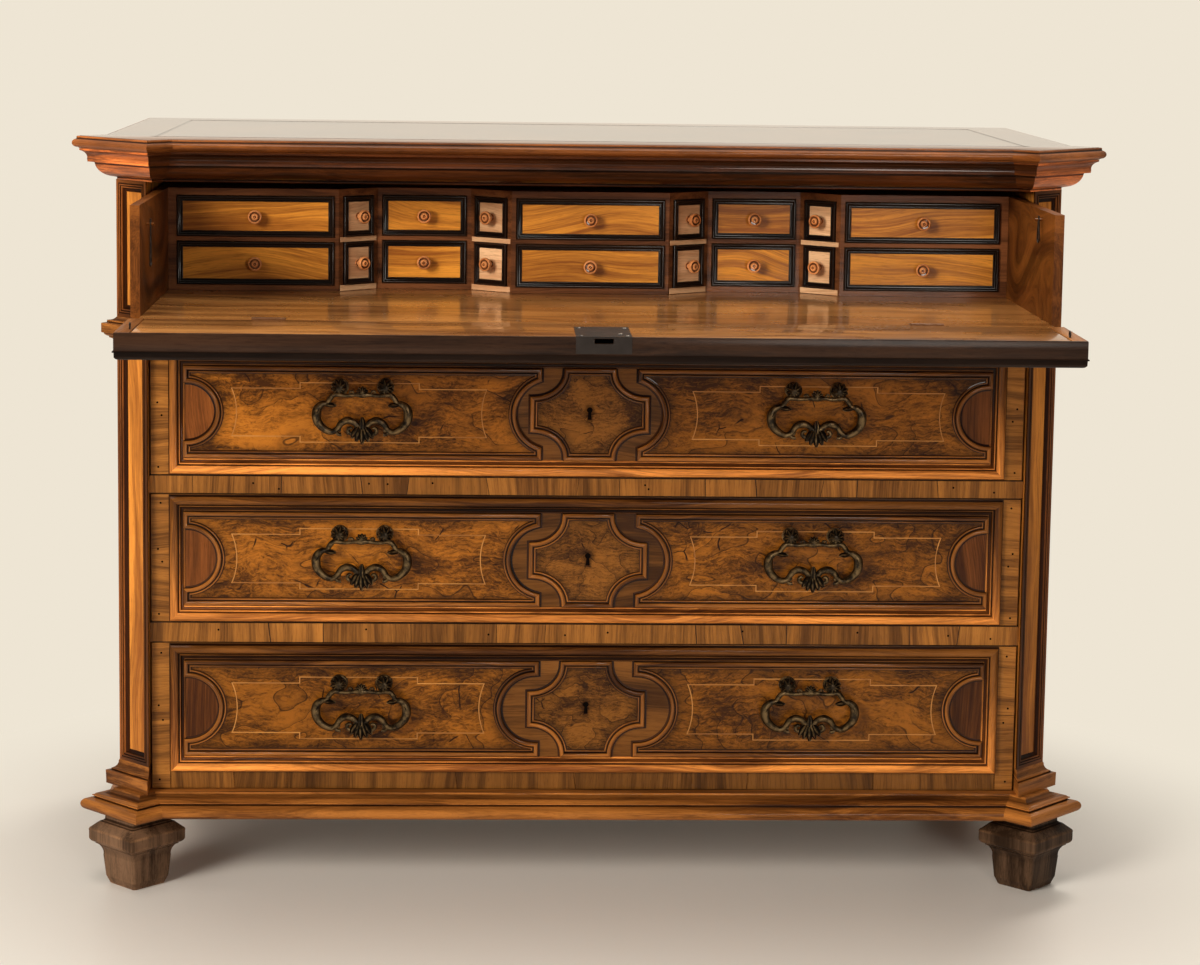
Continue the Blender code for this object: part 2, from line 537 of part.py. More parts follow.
# Writing tray
tray_inner = TRAY_HALF - TRAY_SIDE_T
tray_floor = place("tray_floor", box((-tray_inner + GAP, TRAY_FRONT, WRITING_Z - FALL_T),
                                     (tray_inner - GAP, TRAY_BACK, WRITING_Z)), WALNUT)
for side, (sign, pin_behind, pin_down, length) in HOOKS.items():
    pin_y, pin_z = SIDE_FRONT + pin_behind, TRAY_TOP - pin_down
    low_x, high_x = sorted((sign * tray_inner, sign * TRAY_HALF))
    board = box((low_x, SIDE_FRONT, WAIST + SIDE_RISE), (high_x, TRAY_BACK, TRAY_TOP))
    wall = place(f"tray_side_{side}", board, WALNUT)
    bm = bmesh.new()
    pin_start = min(sign * (tray_inner + PIN_ROOT), sign * (tray_inner - PIN_LEN))
    add_rod(bm, (pin_start, pin_y, pin_z), PIN_LEN + PIN_ROOT, PIN_R, 8)
    boolean(wall, place(f"hook pin {side}", finish(bm)), "UNION")
    curve = bpy.data.curves.new(f"hook_{side}", "CURVE")
    curve.dimensions = "3D"
    curve.bevel_depth = HOOK_R
    curve.bevel_resolution = 1
    width = PIN_R + HOOK_R + PIN_PLAY
    loop = arc((0, 0), width, 0, 180, 6) + arc((0, -length + 2 * width), width * 1.3, 180, 360, 6)
    spline = curve.splines.new("POLY")
    spline.use_cyclic_u = True
    spline.points.add(len(loop) - 1)
    for point, (py, pz) in zip(spline.points, loop):
        point.co = (0, py, pz, 1)
    curve.materials.append(IRON)
    hook = bpy.data.objects.new(f"hook_{side}", curve)
    hook.location = (sign * (tray_inner - HOOK_OUT), pin_y + FRONT_Y, pin_z)
    parts.objects.link(hook)

# Fall, with the ornament of the drawer fronts on the face that shows when it is shut
fall_top, fall_low = WRITING_Z, WRITING_Z - FALL_T
fall_start = TRAY_FRONT - SEAM
hinge_point = (0, TRAY_FRONT, WRITING_Z)
fall = place("fall_front", box((-TRAY_HALF, FALL_EDGE, fall_low), (TRAY_HALF, fall_start, fall_top)), WALNUT,
             hinge_point)
face_down = Matrix.Translation((0, fall_start, fall_low)) @ Matrix.Rotation(math.pi / 2, 4, "X")
ornament(fall, TRAY_HALF - SEAM, SEAM, FALL_LEN - SEAM, face_down)
lock_face, lock_top, lock_low = FALL_EDGE - LOCK_PROUD, fall_top + LOCK_PROUD, fall_top - LOCK_DEEP
lock_section = [(lock_face, fall_low + LOCK_UP), (lock_face, lock_top), (FALL_EDGE + LOCK_LEN, lock_top),
                (FALL_EDGE + LOCK_LEN, lock_low), (FALL_EDGE + SELVEDGE, lock_low),
                (FALL_EDGE + SELVEDGE, fall_low + LOCK_UP)]
lock = place("fall_lock", prism_x(lock_section, LOCK_HALF), IRON)
bm = bmesh.new()
add_box(bm, (-LOCK_HALF - GAP, FALL_EDGE - CUT, lock_low - GAP),
        (LOCK_HALF + GAP, FALL_EDGE + LOCK_LEN + GAP, fall_top + CUT))
add_box(bm, (-LOCK_HALF - GAP, FALL_EDGE - CUT, fall_low + LOCK_UP - GAP),
        (LOCK_HALF + GAP, FALL_EDGE + SELVEDGE + GAP, lock_low + RUN))
boolean(fall, place("lock pocket", finish(bm)), "DIFFERENCE", crossing=True)
bolt_x, bolt_y, bolt_z = FALL_BOLT[0] / 2, FALL_EDGE + FALL_BOLT[1], fall_top - FALL_BOLT_DOWN
slot_x, slot_z = bolt_x + BOLT_PLAY, FALL_BOLT[2] / 2 + BOLT_PLAY
slot = box((-slot_x, FALL_EDGE - CUT, bolt_z - slot_z), (slot_x, bolt_y + RUN, bolt_z + slot_z))
boolean(lock, place("bolt slot", slot), "DIFFERENCE")
bolt = box((-bolt_x, FALL_EDGE, bolt_z - FALL_BOLT[2] / 2), (bolt_x, bolt_y, bolt_z + FALL_BOLT[2] / 2))
place("fall_bolt", bolt, IRON, (0, FALL_EDGE, bolt_z))
shut_y = FALL_T - FALL_BOLT_DOWN    # the bolt's middle when the tray is in and the fall is shut
half_x, half_y = bolt_x + 2 * MORTISE_PLAY, FALL_BOLT[2] / 2 + MORTISE_PLAY
mortise_low, mortise_high = CORNICE_Z - CUT, CORNICE_Z + MORTISE_DEEP
cornice_mortise = box((-half_x, shut_y - half_y, mortise_low), (half_x, shut_y + half_y, mortise_high))
boolean(cornice, place("cornice mortise", cornice_mortise), "DIFFERENCE")

# Butt hinges let into the seam: a knuckle on the hinge line with its leaf on the tray floor
floor_cut, fall_cut = bmesh.new(), bmesh.new()
for side, x in (("left", -HINGE_X), ("right", HINGE_X)):
    dip = math.degrees(math.asin(LEAF[1] / HINGE_R))
    knuckle = arc((TRAY_FRONT, WRITING_Z), HINGE_R, 0, 360 - dip, 10)
    section = [(TRAY_FRONT + LEAF[0], WRITING_Z - LEAF[1]), (TRAY_FRONT + LEAF[0], WRITING_Z)] + knuckle
    place(f"fall_hinge_{side}", prism_x(section, HINGE_LEN / 2, x), IRON)
    for bm in (floor_cut, fall_cut):
        seat_start = (x - HINGE_LEN / 2 - GAP, TRAY_FRONT, WRITING_Z)
        add_rod(bm, seat_start, HINGE_LEN + 2 * GAP, HINGE_R + HINGE_PLAY, 12)
    add_box(floor_cut, (x - HINGE_LEN / 2 - GAP, TRAY_FRONT + HINGE_R, WRITING_Z - LEAF[1] - GAP),
            (x + HINGE_LEN / 2 + GAP, TRAY_FRONT + LEAF[0] + GAP, WRITING_Z + CUT))
boolean(tray_floor, place("hinge seats in the floor", finish(floor_cut)), "DIFFERENCE", crossing=True)
boolean(fall, place("hinge seats in the fall", finish(fall_cut)), "DIFFERENCE")

# Nest of small drawers: middle and ends stand forward, the two bays between are set back
b0, b1, b2, b3 = NEST_BREAKS
nest_back = TRAY_BACK
front_half = [(b0, NEST_Y), (b1, NEST_Y + SET_BACK), (b2, NEST_Y + SET_BACK), (b3, NEST_Y)]
nest_plan = [(NEST_HALF, nest_back), (-NEST_HALF, nest_back), (-NEST_HALF, NEST_Y)]
nest_plan += [(-x, y) for x, y in reversed(front_half)] + front_half + [(NEST_HALF, NEST_Y)]
nest_low = WRITING_Z + GAP
nest_rings = [[(x, y, z) for x, y in nest_plan] for z in (nest_low, TRAY_TOP)]
nest = place("small_drawer_nest", loft(nest_rings), WALNUT_DARK)
cells = bmesh.new()
lower = (nest_low + RAILS_Z[0], nest_low + RAILS_Z[0] + ROW_H)
upper = (lower[1] + RAILS_Z[1], TRAY_TOP - RAILS_Z[2])
columns = [("centre", -b0, b0, NEST_Y, NEST_Y)]
for side, sign in (("left", -1), ("right", 1)):
    for kind, x0, x1, y0, y1 in (("inner_angle", b0, b1, NEST_Y, NEST_Y + SET_BACK),
                                 ("bay", b1, b2, NEST_Y + SET_BACK, NEST_Y + SET_BACK),
                                 ("outer_angle", b2, b3, NEST_Y + SET_BACK, NEST_Y),
                                 ("end", b3, NEST_HALF - STILE, NEST_Y, NEST_Y)):
        ends = (x0, x1, y0, y1) if sign > 0 else (-x1, -x0, y1, y0)
        columns.append((f"{kind}_{side}", *ends))
for column, x0, x1, y0, y1 in columns:
    slope = (y1 - y0) / (x1 - x0)
    left, right = x0 + STILE, x1 - STILE
    angle = math.atan(slope)
    back = nest_back - NEST_BACK_T
    front_left, front_right = y0 + slope * STILE, y1 - slope * STILE
    for row, (low, high) in (("lower", lower), ("upper", upper)):
        cell = ((left, front_left - SET_BACK), (right, front_right - SET_BACK), (right, back), (left, back))
        add_loft(cells, [[(x, y, z) for x, y in cell] for z in (low, high)])
        dx0, dx1, dz0, dz1 = left + CELL_PLAY, right - CELL_PLAY, low + CELL_PLAY, high - CELL_PLAY
        dy0, dy1, dback = front_left + slope * CELL_PLAY, front_right - slope * CELL_PLAY, back - CELL_BACK
        outside = ((dx0, dy0), (dx1, dy1), (dx1, dback), (dx0, dback))
        block = loft([[(x, y, z) for x, y in outside] for z in (dz0, dz1)])
        drawer = place(f"small_{column}_{row}", block, OLIVE, ((dx0 + dx1) / 2, dy0, dz0))
        hx0, hx1, hback = dx0 + SMALL_WALL, dx1 - SMALL_WALL, dback - SMALL_WALL
        hy0, hy1 = dy0 + slope * SMALL_WALL + SMALL_FRONT, dy1 - slope * SMALL_WALL + SMALL_FRONT
        inside = ((hx0, hy0), (hx1, hy1), (hx1, hback), (hx0, hback))
        hollow = loft([[(x, y, z) for x, y in inside] for z in (dz0 + SMALL_WALL, dz1 + CUT)])
        boolean(drawer, place(f"hollow {column} {row}", hollow), "DIFFERENCE")
        turn = Matrix.Translation(((dx0 + dx1) / 2, (dy0 + dy1) / 2, 0)) @ Matrix.Rotation(angle, 4, "Z")
        forward = Matrix.Translation((0, 0, (dz0 + dz1) / 2)) @ Matrix.Rotation(math.pi / 2, 4, "X")
        bm = bmesh.new()
        add_moulding(bm, rectangle((dx1 - dx0) / 2 / math.cos(angle), dz0, dz1), SMALL_FRAME, turn)
        add_turned(bm, KNOB, turn @ forward)
        boolean(drawer, place(f"trim {column} {row}", finish(bm)), "UNION")
boolean(nest, place("small drawer cells", finish(cells)), "DIFFERENCE")
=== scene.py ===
"""Looks of a walnut commode with canted corners, a pull-out writing tray and three long drawers.

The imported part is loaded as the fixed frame. Each operator makes one group of pieces as numpy surfaces, gives
them procedural finishes and lets them ride on the frame's bodies. Metres, +Z up, front towards -Y.
"""
import math

import bmesh
import bpy
import numpy as np
from bpy.props import FloatProperty, FloatVectorProperty, PointerProperty
from mathutils import Matrix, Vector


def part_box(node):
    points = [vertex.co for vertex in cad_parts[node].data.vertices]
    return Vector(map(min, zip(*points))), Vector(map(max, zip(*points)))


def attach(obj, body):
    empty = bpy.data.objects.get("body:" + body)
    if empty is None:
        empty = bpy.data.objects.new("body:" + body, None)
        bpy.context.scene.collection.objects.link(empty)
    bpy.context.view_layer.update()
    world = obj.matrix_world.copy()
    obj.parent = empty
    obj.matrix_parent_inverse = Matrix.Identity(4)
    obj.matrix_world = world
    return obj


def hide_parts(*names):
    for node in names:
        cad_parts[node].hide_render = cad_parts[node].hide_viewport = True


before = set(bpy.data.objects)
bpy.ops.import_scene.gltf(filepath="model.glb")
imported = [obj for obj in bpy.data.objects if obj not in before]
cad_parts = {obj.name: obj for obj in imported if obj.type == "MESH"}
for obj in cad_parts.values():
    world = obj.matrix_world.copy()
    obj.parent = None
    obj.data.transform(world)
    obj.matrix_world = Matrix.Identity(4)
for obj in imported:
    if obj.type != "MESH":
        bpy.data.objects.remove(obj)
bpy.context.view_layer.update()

bl_info = {
    "name": "Walnut writing commode",
    "version": (1, 0, 0),
    "blender": (4, 5, 0),
    "location": "3D View > Sidebar > Commode",
    "description": "Veneers, mouldings, bronzes and finishes of a walnut commode round its packed frame",
    "category": "Add Mesh",
}

ROOT2 = math.sqrt(2)

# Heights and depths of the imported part
FRONT_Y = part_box("rail_upper")[0].y
CASE_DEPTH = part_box("back_panel")[1].y - FRONT_Y
FOOT_H, BASE_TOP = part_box("base_moulding")[0].z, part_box("base_moulding")[1].z
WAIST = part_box("rail_upper")[1].z
CORNICE_Z, TOP_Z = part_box("cornice_moulding")[0].z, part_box("cornice_moulding")[1].z
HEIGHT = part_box("top_board")[1].z
WRITING_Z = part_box("tray_floor")[1].z
FALL_LOW, FALL_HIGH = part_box("fall_front")

# Plan of the case, as in the part's source
GAP = 0.0003
PANEL_T = 0.021
INNER_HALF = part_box("back_panel")[1].x + GAP
CASE_HALF = INNER_HALF + PANEL_T
SHAFT_N = -0.0032
SHAFT_END_T = 0.0418
POST_BACK = ROOT2 * SHAFT_END_T
CORNICE_PLAN = {"mid": -0.0112, "reach": 0.036, "face": 0.0018, "front": -0.022, "side": 0.0}
BASE_PLAN = {"mid": -0.0032, "reach": 0.033, "face": 0.0218, "front": -0.020, "side": 0.015}
CORNICE_IN = 0.060
BASE_LAP = 0.034
RAIL_T = 0.030
SIDE_FRAME_IN = 0.045

# Drawer fronts
DRAWER_HALF = INNER_HALF - 0.003
FRONT_T = 0.022
STRIP = 0.0275
BAND = (0.0, 0.0, 0.0245)
FRAME_EDGE = 0.003
FRAME_W = 0.021
SHIELD_HALF, SHIELD_FLAT, SHIELD_SIDE, SHIELD_GAP = 0.081, 0.0326, 0.0215, 0.0055
PANEL_IN, PANEL_BITE, BITE_FLAT, PANEL_GAP, LUNETTE_GAP = 0.0745, 0.0549, 0.010, 0.0062, 0.021
KEYHOLE_UP = 0.003
HANDLE_X, HANDLE_UP, POST_X, POST_LIFT, AXIS_OUT, BAR_R = 0.327, 0.029, 0.0325, 0.006, 0.018, 0.0026
FALL_T = 0.025

# Nest of small drawers
NEST_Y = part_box("small_drawer_nest")[0].y
SET_BACK = 0.045
NEST_BREAKS = (0.1145, 0.1745, 0.3105, 0.3655)
NEST_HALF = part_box("small_drawer_nest")[1].x
STILE, CELL_PLAY, SMALL_WALL, SMALL_FRONT = 0.006, 0.0008, 0.005, 0.009

SIDES = (("left", -1), ("right", 1))

# Orders of axes that the grain runs along, across and through
PLAIN, FLAT, TALL = (0, 1, 2), (0, 2, 1), (2, 0, 1)

# Joining of surfaces: distance that is welded, size that is dropped, slack in a comparison, angle of a sharp edge
WELD, SPECK, SLACK = 2e-6, 1e-7, 1e-6
SHARP = math.radians(38)

# Depth to which veneers are let in, height of the painted shade at a moulding's foot, depths of the grain and of a cast
# skin
SINK, FOOT_PAINTED_SHADE_RISE = 0.0006, 0.0018
GRAIN_DEPTH, CAST_DEPTH = 0.0004, 0.0003

# Turns what stands along +Z to stand out towards -Y
UPRIGHT = Matrix.Rotation(math.pi / 2, 4, "X")


# Shapes

def traced(marks, steps=7, step=0.0012):
    """Points through marks of (x, y) or (x, y, bulge), no further apart than a step.

    A mark is reached by a straight line, or by an arc whose rise over half its chord is bulge: to the right of
    the way for a positive bulge and to the left for a negative one.
    """
    line = [np.array(marks[0][:2], float)]
    for mark in marks[1:]:
        start, end = line[-1], np.array(mark[:2], float)
        bulge = mark[2] if len(mark) > 2 else 0.0
        chord = end - start
        if not bulge:
            pieces = max(1, math.ceil(np.hypot(*chord) / step - SLACK))
            line.extend(start + chord * share for share in np.arange(1, pieces + 1) / pieces)
            continue
        centre = (start + end) / 2 + np.array((-chord[1], chord[0])) * (1 - bulge**2) / (4 * bulge)
        turn = 4 * math.atan(bulge) * np.arange(1, steps + 1) / steps
        arm = start - centre
        line.extend(centre + np.stack((arm[0] * np.cos(turn) - arm[1] * np.sin(turn),
                                       arm[0] * np.sin(turn) + arm[1] * np.cos(turn)), 1))
    return np.array(line)


def shut(profile):
    """Profile led back to its start, so that a moulding of it is a closed ring."""
    return np.concatenate((profile, profile[:1]))


def closed(rings):
    """Rings (rows, points, 3) each led back to its first point."""
    return np.concatenate((rings, rings[:, :1]), 1)


def relief_of(profile, reach=0.0019):
    """How far each point of a profile is a crest (+1) or a hollow (-1).

    It is the sum of the turns along the profile, each fading with the square of its distance over reach.
    """
    step = np.diff(profile, axis=0)
    along = np.concatenate(((0.0,), np.cumsum(np.hypot(step[:, 0], step[:, 1]))))
    cross = step[:-1, 0] * step[1:, 1] - step[:-1, 1] * step[1:, 0]
    turn = np.arctan2(cross, (step[:-1] * step[1:]).sum(1))
    near = np.exp(-((along[:, None] - along[None, 1:-1]) / reach) ** 2)
    return np.clip(-near @ turn, -1, 1)


def pushed_in(outline, inward):
    """Closed clockwise outline (points, 2), moved in by each distance, mitred: (distances, points, 2)."""
    before = outline - np.roll(outline, 1, 0)
    before = before / np.linalg.norm(before, axis=1, keepdims=True)
    in_a = np.stack((before[:, 1], -before[:, 0]), 1)
    in_b = np.roll(in_a, -1, 0)
    mitre = (in_a + in_b) / (1 + (in_a * in_b).sum(1, keepdims=True))
    return outline[None] + np.atleast_1d(inward)[:, None, None] * mitre[None]


def moved(points, matrix):
    """Points carried by a 4x4 matrix."""
    m = np.array(matrix)
    return points @ m[:3, :3].T + m[:3, 3]


def standing(flat, height):
    """Flat (x, z) points stood up with their height towards -Y."""
    return np.stack((flat[..., 0], np.broadcast_to(-np.asarray(height), flat.shape[:-1]), flat[..., 1]), -1)


class Stock:
    """Surfaces of one piece, gathered before they are welded into one mesh."""

    def __init__(self, seed=1):
        self.points, self.grain, self.relief, self.tones, self.loops, self.sizes = [], [], [], [], [], []
        self.count, self.tone = 0, 0.0
        self.rng = np.random.default_rng(seed)

    def shift(self):
        """A new place in the timber for the next length."""
        return self.rng.uniform(-4, 4, 3)

    def _add(self, points, grain, relief, faces, tone=0.0):
        """Keeps points, what is known at each of them, and faces that count from the first of them."""
        self.points.append(points.reshape(-1, 3))
        self.grain.append(np.broadcast_to(grain, points.shape).reshape(-1, 3))
        self.relief.append(np.broadcast_to(relief, points.shape[:-1]).reshape(-1))
        self.tones.append(np.broadcast_to(self.tone + np.asarray(tone), points.shape[:-1]).reshape(-1))
        self.loops.append(faces.ravel() + self.count)
        self.sizes.append(np.full(len(faces), faces.shape[1]))
        self.count += len(self.points[-1])

    def grid(self, points, grain=None, relief=0.0, tone=0.0):
        """Quads between the rows and columns of points (rows, columns, 3)."""
        rows, columns = points.shape[:2]
        index = np.arange(rows * columns).reshape(rows, columns)
        faces = np.stack((index[:-1, :-1], index[:-1, 1:], index[1:, 1:], index[1:, :-1]), -1).reshape(-1, 4)
        self._add(points, points if grain is None else grain, relief, faces, tone)

    def face(self, points, grain):
        """One flat face inside a ring of points (points, 3)."""
        self._add(points, grain, 0.0, np.arange(len(points))[None])

    def skin(self, rings, profile=None, order=None, caps=False, corner=25.0, outside=1, cant_painted_light=0.0, painted_flank_shade=0.0,
             tone=0.0):
        """Skin over closed rings (rows, points, 3).

        Where a ring turns by more than corner degrees a new length of timber starts. The grain runs along the
        ring, or along one axis if order names the axes as along, across and through. Lengths that face askew and
        away from the middle, the cants, get painted light: they are lighter by the stops given for the cants. Each
        point of the rings is lighter by tone stops. Given a flank shade, the foot and steep flanks of the profile
        count as hollows, so the polish darkens them as painted shade.
        """
        rings = np.asarray(rings, float)
        middle = rings[len(rings) // 2]
        edge = np.roll(middle, -1, 0) - middle
        heading = edge / (np.linalg.norm(edge, axis=1, keepdims=True) + 1e-12)
        turn = (heading * np.roll(heading, 1, 0)).sum(1)
        breaks = np.flatnonzero(turn < math.cos(math.radians(corner)))
        first = breaks[0] if len(breaks) else 0
        rings = np.roll(rings, -first, 1)
        looped = closed(rings)
        tone = np.roll(np.broadcast_to(tone, len(middle)), -first)
        tone = np.concatenate((tone, tone[:1]))
        stops = [*(breaks - first), len(middle)] if len(breaks) else [0, len(middle)]
        if profile is None:
            profile = np.stack((np.arange(len(rings)) * 0.001, np.zeros(len(rings))), 1)
        relief = relief_of(profile)[:, None] * outside
        # Painted shade: steep flanks and the foot of the profile count as hollows, which the polish darkens
        if painted_flank_shade:
            slope = np.gradient(profile, axis=0)
            steep = slope[:, 1:] ** 2 / (slope ** 2).sum(1, keepdims=True)
            foot = profile[:, 1:] < profile[:, 1].min() + FOOT_PAINTED_SHADE_RISE
            relief = np.clip(relief - painted_flank_shade * steep - foot, -1, 1)
        one = self.shift()
        for start, stop in zip(stops, stops[1:]):
            part = looped[:, start:stop + 1]
            start_at, end_at = part[len(part) // 2, 0], part[len(part) // 2, -1]
            way = end_at - start_at
            slant = np.abs(way[:2])
            # Painted light: lengths on the cants are lighter, as light from the sides falls on them
            askew = way[0] * way[1] * (start_at[0] + end_at[0]) > 0 and slant.min() > slant.max() * 0.5
            lighter = cant_painted_light if askew else 0.0
            if order is None:
                spine = part[len(part) // 2]
                along = np.concatenate(((0.0,), np.cumsum(np.linalg.norm(np.diff(spine, axis=0), axis=1))))
                grain = np.stack(np.broadcast_arrays(along[None], profile[:, :1], profile[:, 1:]), -1) + self.shift()
            else:
                grain = part[..., order] + one
            self.grid(part, grain, relief, lighter + tone[start:stop + 1])
        if caps:
            axes = order or PLAIN
            for ring in (rings[0], rings[-1]):
                self.face(ring, ring[:, axes] + one)

    def moulding(self, outline, profile, matrix, painted_flank_shade=0.8, painted_top_shade=0.0, inner=0.0):
        """Closed profile of (inward, height) run round a clockwise (x, z) outline, standing out towards -Y.

        By the given top-shade stops its upper members get painted shade and its lower ones painted light, as light
        falls from above, and by inner stops its first upright gets painted shade and is darker than its last.
        """
        flat = pushed_in(outline, profile[:, 0])
        rise = outline[:, 1] - (outline[:, 1].min() + outline[:, 1].max()) / 2
        first = outline[:, 0] < outline[:, 0].mean()
        # Painted shade on the upper members and the first upright, painted light on the lower members
        self.skin(moved(standing(flat, profile[:, 1:]), matrix), profile, painted_flank_shade=painted_flank_shade,
                  tone=-painted_top_shade * rise / rise.max() - inner * first)

    def plate(self, outline, height, matrix, order=FLAT, mirror=1, edge=0.0002, sunk=SINK):
        """Veneer of an (x, z) outline: its face at a height, its edges let down into what carries it."""
        flat = pushed_in(outline, np.array((0.0, 0.0, edge)))
        local = standing(flat, np.array((-sunk, height - edge, height))[:, None])
        rings, grain = moved(local, matrix), (local * (mirror, 1, 1))[..., order] + self.shift()
        self.grid(closed(rings), closed(grain))
        for end in (0, -1):
            self.face(rings[end], grain[end])

    def board(self, low, high, order, edge=0.0006, slot=None):
        """Box between two corners, with its upper and lower edges eased.

        A slot, given by two corners, is let in from the back down to its floor and is open at the top.
        """
        low, high = np.asarray(low, float), np.asarray(high, float)
        ease = edge * 0.3
        inset = np.array((edge, ease, 0.0, 0.0, ease, edge))
        z = np.array((low[2], low[2] + ease, low[2] + edge, high[2] - edge, high[2] - ease, high[2]))
        if slot:
            inset, z = np.insert(inset, 3, (0.0, 0.0)), np.insert(z, 3, (slot[0][2], slot[0][2]))
        left, right, front, back = low[0] + inset, high[0] - inset, low[1] + inset, high[1] - inset
        x, y = [left, left, right, right], [front, back, back, front]
        if slot:
            deep = np.where(np.arange(len(z)) > 3, slot[0][1], back)
            x[2:2] = [np.full_like(z, slot[end][0]) for end in (0, 0, 1, 1)]
            y[2:2] = [back, deep, deep, back]
        x = np.stack(x, 1)
        self.skin(np.stack((x, np.stack(y, 1), np.broadcast_to(z[:, None], x.shape)), -1), order=order, caps=True)

    def drawn_out(self, sign, limit):
        """Draws every point that is nearer the middle than limit out to it."""
        for points in self.points:
            points[:, 0] = sign * np.maximum(sign * points[:, 0], limit)

    def turned(self, profile, matrix, sides=28, reach=0.0015):
        """Profile of (radius, height) turned round the matrix's Z axis."""
        angle = np.linspace(0, 2 * math.pi, sides + 1)
        rings = np.stack((profile[:, :1] * np.cos(angle), profile[:, :1] * np.sin(angle),
                          np.broadcast_to(profile[:, 1:], (len(profile), sides + 1))), -1)
        self.grid(moved(rings, matrix), rings + self.shift(), -relief_of(profile, reach)[:, None])

    def tube(self, path, radius, flat=(0, 1, 0), sides=12, looped=True):
        """Round bar along a path (points, 3) that lies square to flat.

        At angle a round a point it is the point, plus radius times (cos a across the way + sin a along flat).
        """
        ahead = np.roll(path, -1, 0) - np.roll(path, 1, 0) if looped else np.gradient(path, axis=0)
        ahead = ahead / np.linalg.norm(ahead, axis=1, keepdims=True)
        flat = np.asarray(flat, float)
        across = np.cross(flat, ahead)
        angle = np.linspace(0, 2 * math.pi, sides + 1)
        radius = np.broadcast_to(radius, (len(path),))[:, None, None]
        rings = path[:, None] + radius * (np.cos(angle)[None, :, None] * across[:, None]
                                          + np.sin(angle)[None, :, None] * flat)
        if looped:
            rings = np.concatenate((rings, rings[:1]))
        else:
            tips = path[[0, -1], None].repeat(sides + 1, 1)
            rings = np.concatenate((tips[:1], rings, tips[1:]))
        self.grid(rings, relief=0.6 * np.abs(np.sin(angle))[None])

    def leaf(self, length, widths, thick, flutes, lean, matrix):
        """Fluted leaf: half width by share of length, a raised front cut by flutes that fan from the root.

        At share v down the leaf and angle a round it, x = width(v) cos a, and y = -thick(v) sin a, deepened
        between the flutes by the cosine of a times their number. The tip curls forward by lean.
        """
        share = np.linspace(0, 1, 15)
        width = np.interp(share, np.linspace(0, 1, len(widths)), widths)
        angle = np.linspace(0, 2 * math.pi, 12 * flutes + 1)
        body = thick * (0.25 + 0.75 * np.sin(math.pi * np.clip(share * 0.9 + 0.08, 0, 1)))
        wave = 0.5 + 0.5 * np.cos(angle * flutes * 2)
        front = np.sin(angle) * np.where(np.sin(angle) > 0, 0.72 + 0.28 * wave, 0.4)
        x = width[:, None] * np.cos(angle)
        y = -body[:, None] * front - lean * share[:, None] ** 2
        scallop = 1 + 0.10 * share[:, None] ** 3 * (wave - 0.5) * 2
        z = -length * share[:, None] * scallop + 0 * x
        points = np.stack((x, y, z), -1)
        ends = np.stack((points[0].mean(0), points[-1].mean(0)))[:, None].repeat(len(angle), 1)
        points = np.concatenate((ends[:1], points, ends[1:]))
        self.grid(moved(points, matrix), relief=np.concatenate((wave[:1], wave[:-1]))[None] * 1.6 - 0.8)


def arc(centre, radius, start, end, steps=24):
    """Points of an arc of one radius, or of two for an oval, angles in degrees."""
    angle = np.radians(np.linspace(start, end, steps + 1))
    return np.asarray(centre) + np.stack((np.cos(angle), np.sin(angle)), 1) * radius


def rectangle(half_x, low, high):
    """Clockwise rectangle in (x, z)."""
    return np.array(((-half_x, low), (-half_x, high), (half_x, high), (half_x, low)))


def oblong(x0, x1, z0, z1):
    """Clockwise rectangle between two corners."""
    return np.array(((x0, z0), (x0, z1), (x1, z1), (x1, z0)))


def flipped(outline):
    """Outline mirrored in x, still clockwise."""
    return outline[::-1] * (-1, 1)


def smooth_loop(points, steps):
    """Closed curve through points (points, values): a cubic on each span, sloped as its two neighbours lie."""
    before, after, later = np.roll(points, 1, 0), np.roll(points, -1, 0), np.roll(points, -2, 0)
    t = (np.arange(steps) / steps)[None, :, None]
    a, b, c, d = (p[:, None] for p in (before, points, after, later))
    curve = 0.5 * (2 * b + (c - a) * t + (2 * a - 5 * b + 4 * c - d) * t**2 + (3 * b - a - 3 * c + d) * t**3)
    return curve.reshape(-1, points.shape[1])


def corner(t, n):
    """Point at T along a cant and N out from the case's corner, right side."""
    return CASE_HALF + (t + n) / ROOT2, (t - n) / ROOT2


def plan_rings(profile, mid, reach, face, front, side, inner=None):
    """Canted outline of the case pushed out by each offset of an (offset, z) profile: rings of points.

    With inner, the outline is a U, open at the back, with that inner half width and inner depth, and where two
    more numbers follow, with a notch of that half width and depth in the middle of its inner side.
    """
    offset, z = profile[:, 0], profile[:, 1]
    t0, t1, n = mid - reach - offset, mid + reach + offset, face + offset
    front, side = front - offset, CASE_HALF + side + offset
    back = np.full_like(offset, CASE_DEPTH)
    xs = [CASE_HALF + ROOT2 * t0 - front, corner(t0, n)[0], corner(t1, n)[0], side, side]
    ys = [front, corner(t0, n)[1], corner(t1, n)[1], ROOT2 * t1 - side + CASE_HALF, back]
    if inner:
        xs += [np.full_like(offset, inner[0])] * 2
        ys += [back, np.full_like(offset, inner[1])]
    if inner and len(inner) > 2:
        xs += [np.full_like(offset, inner[2])] * 2
        ys += [np.full_like(offset, inner[1]), np.full_like(offset, inner[3])]
    x, y = np.stack(xs, 1), np.stack(ys, 1) + FRONT_Y
    half = np.stack((x, y, np.broadcast_to(z[:, None], x.shape)), -1)
    return np.concatenate((half, half[:, ::-1] * (-1, 1, 1)), 1)


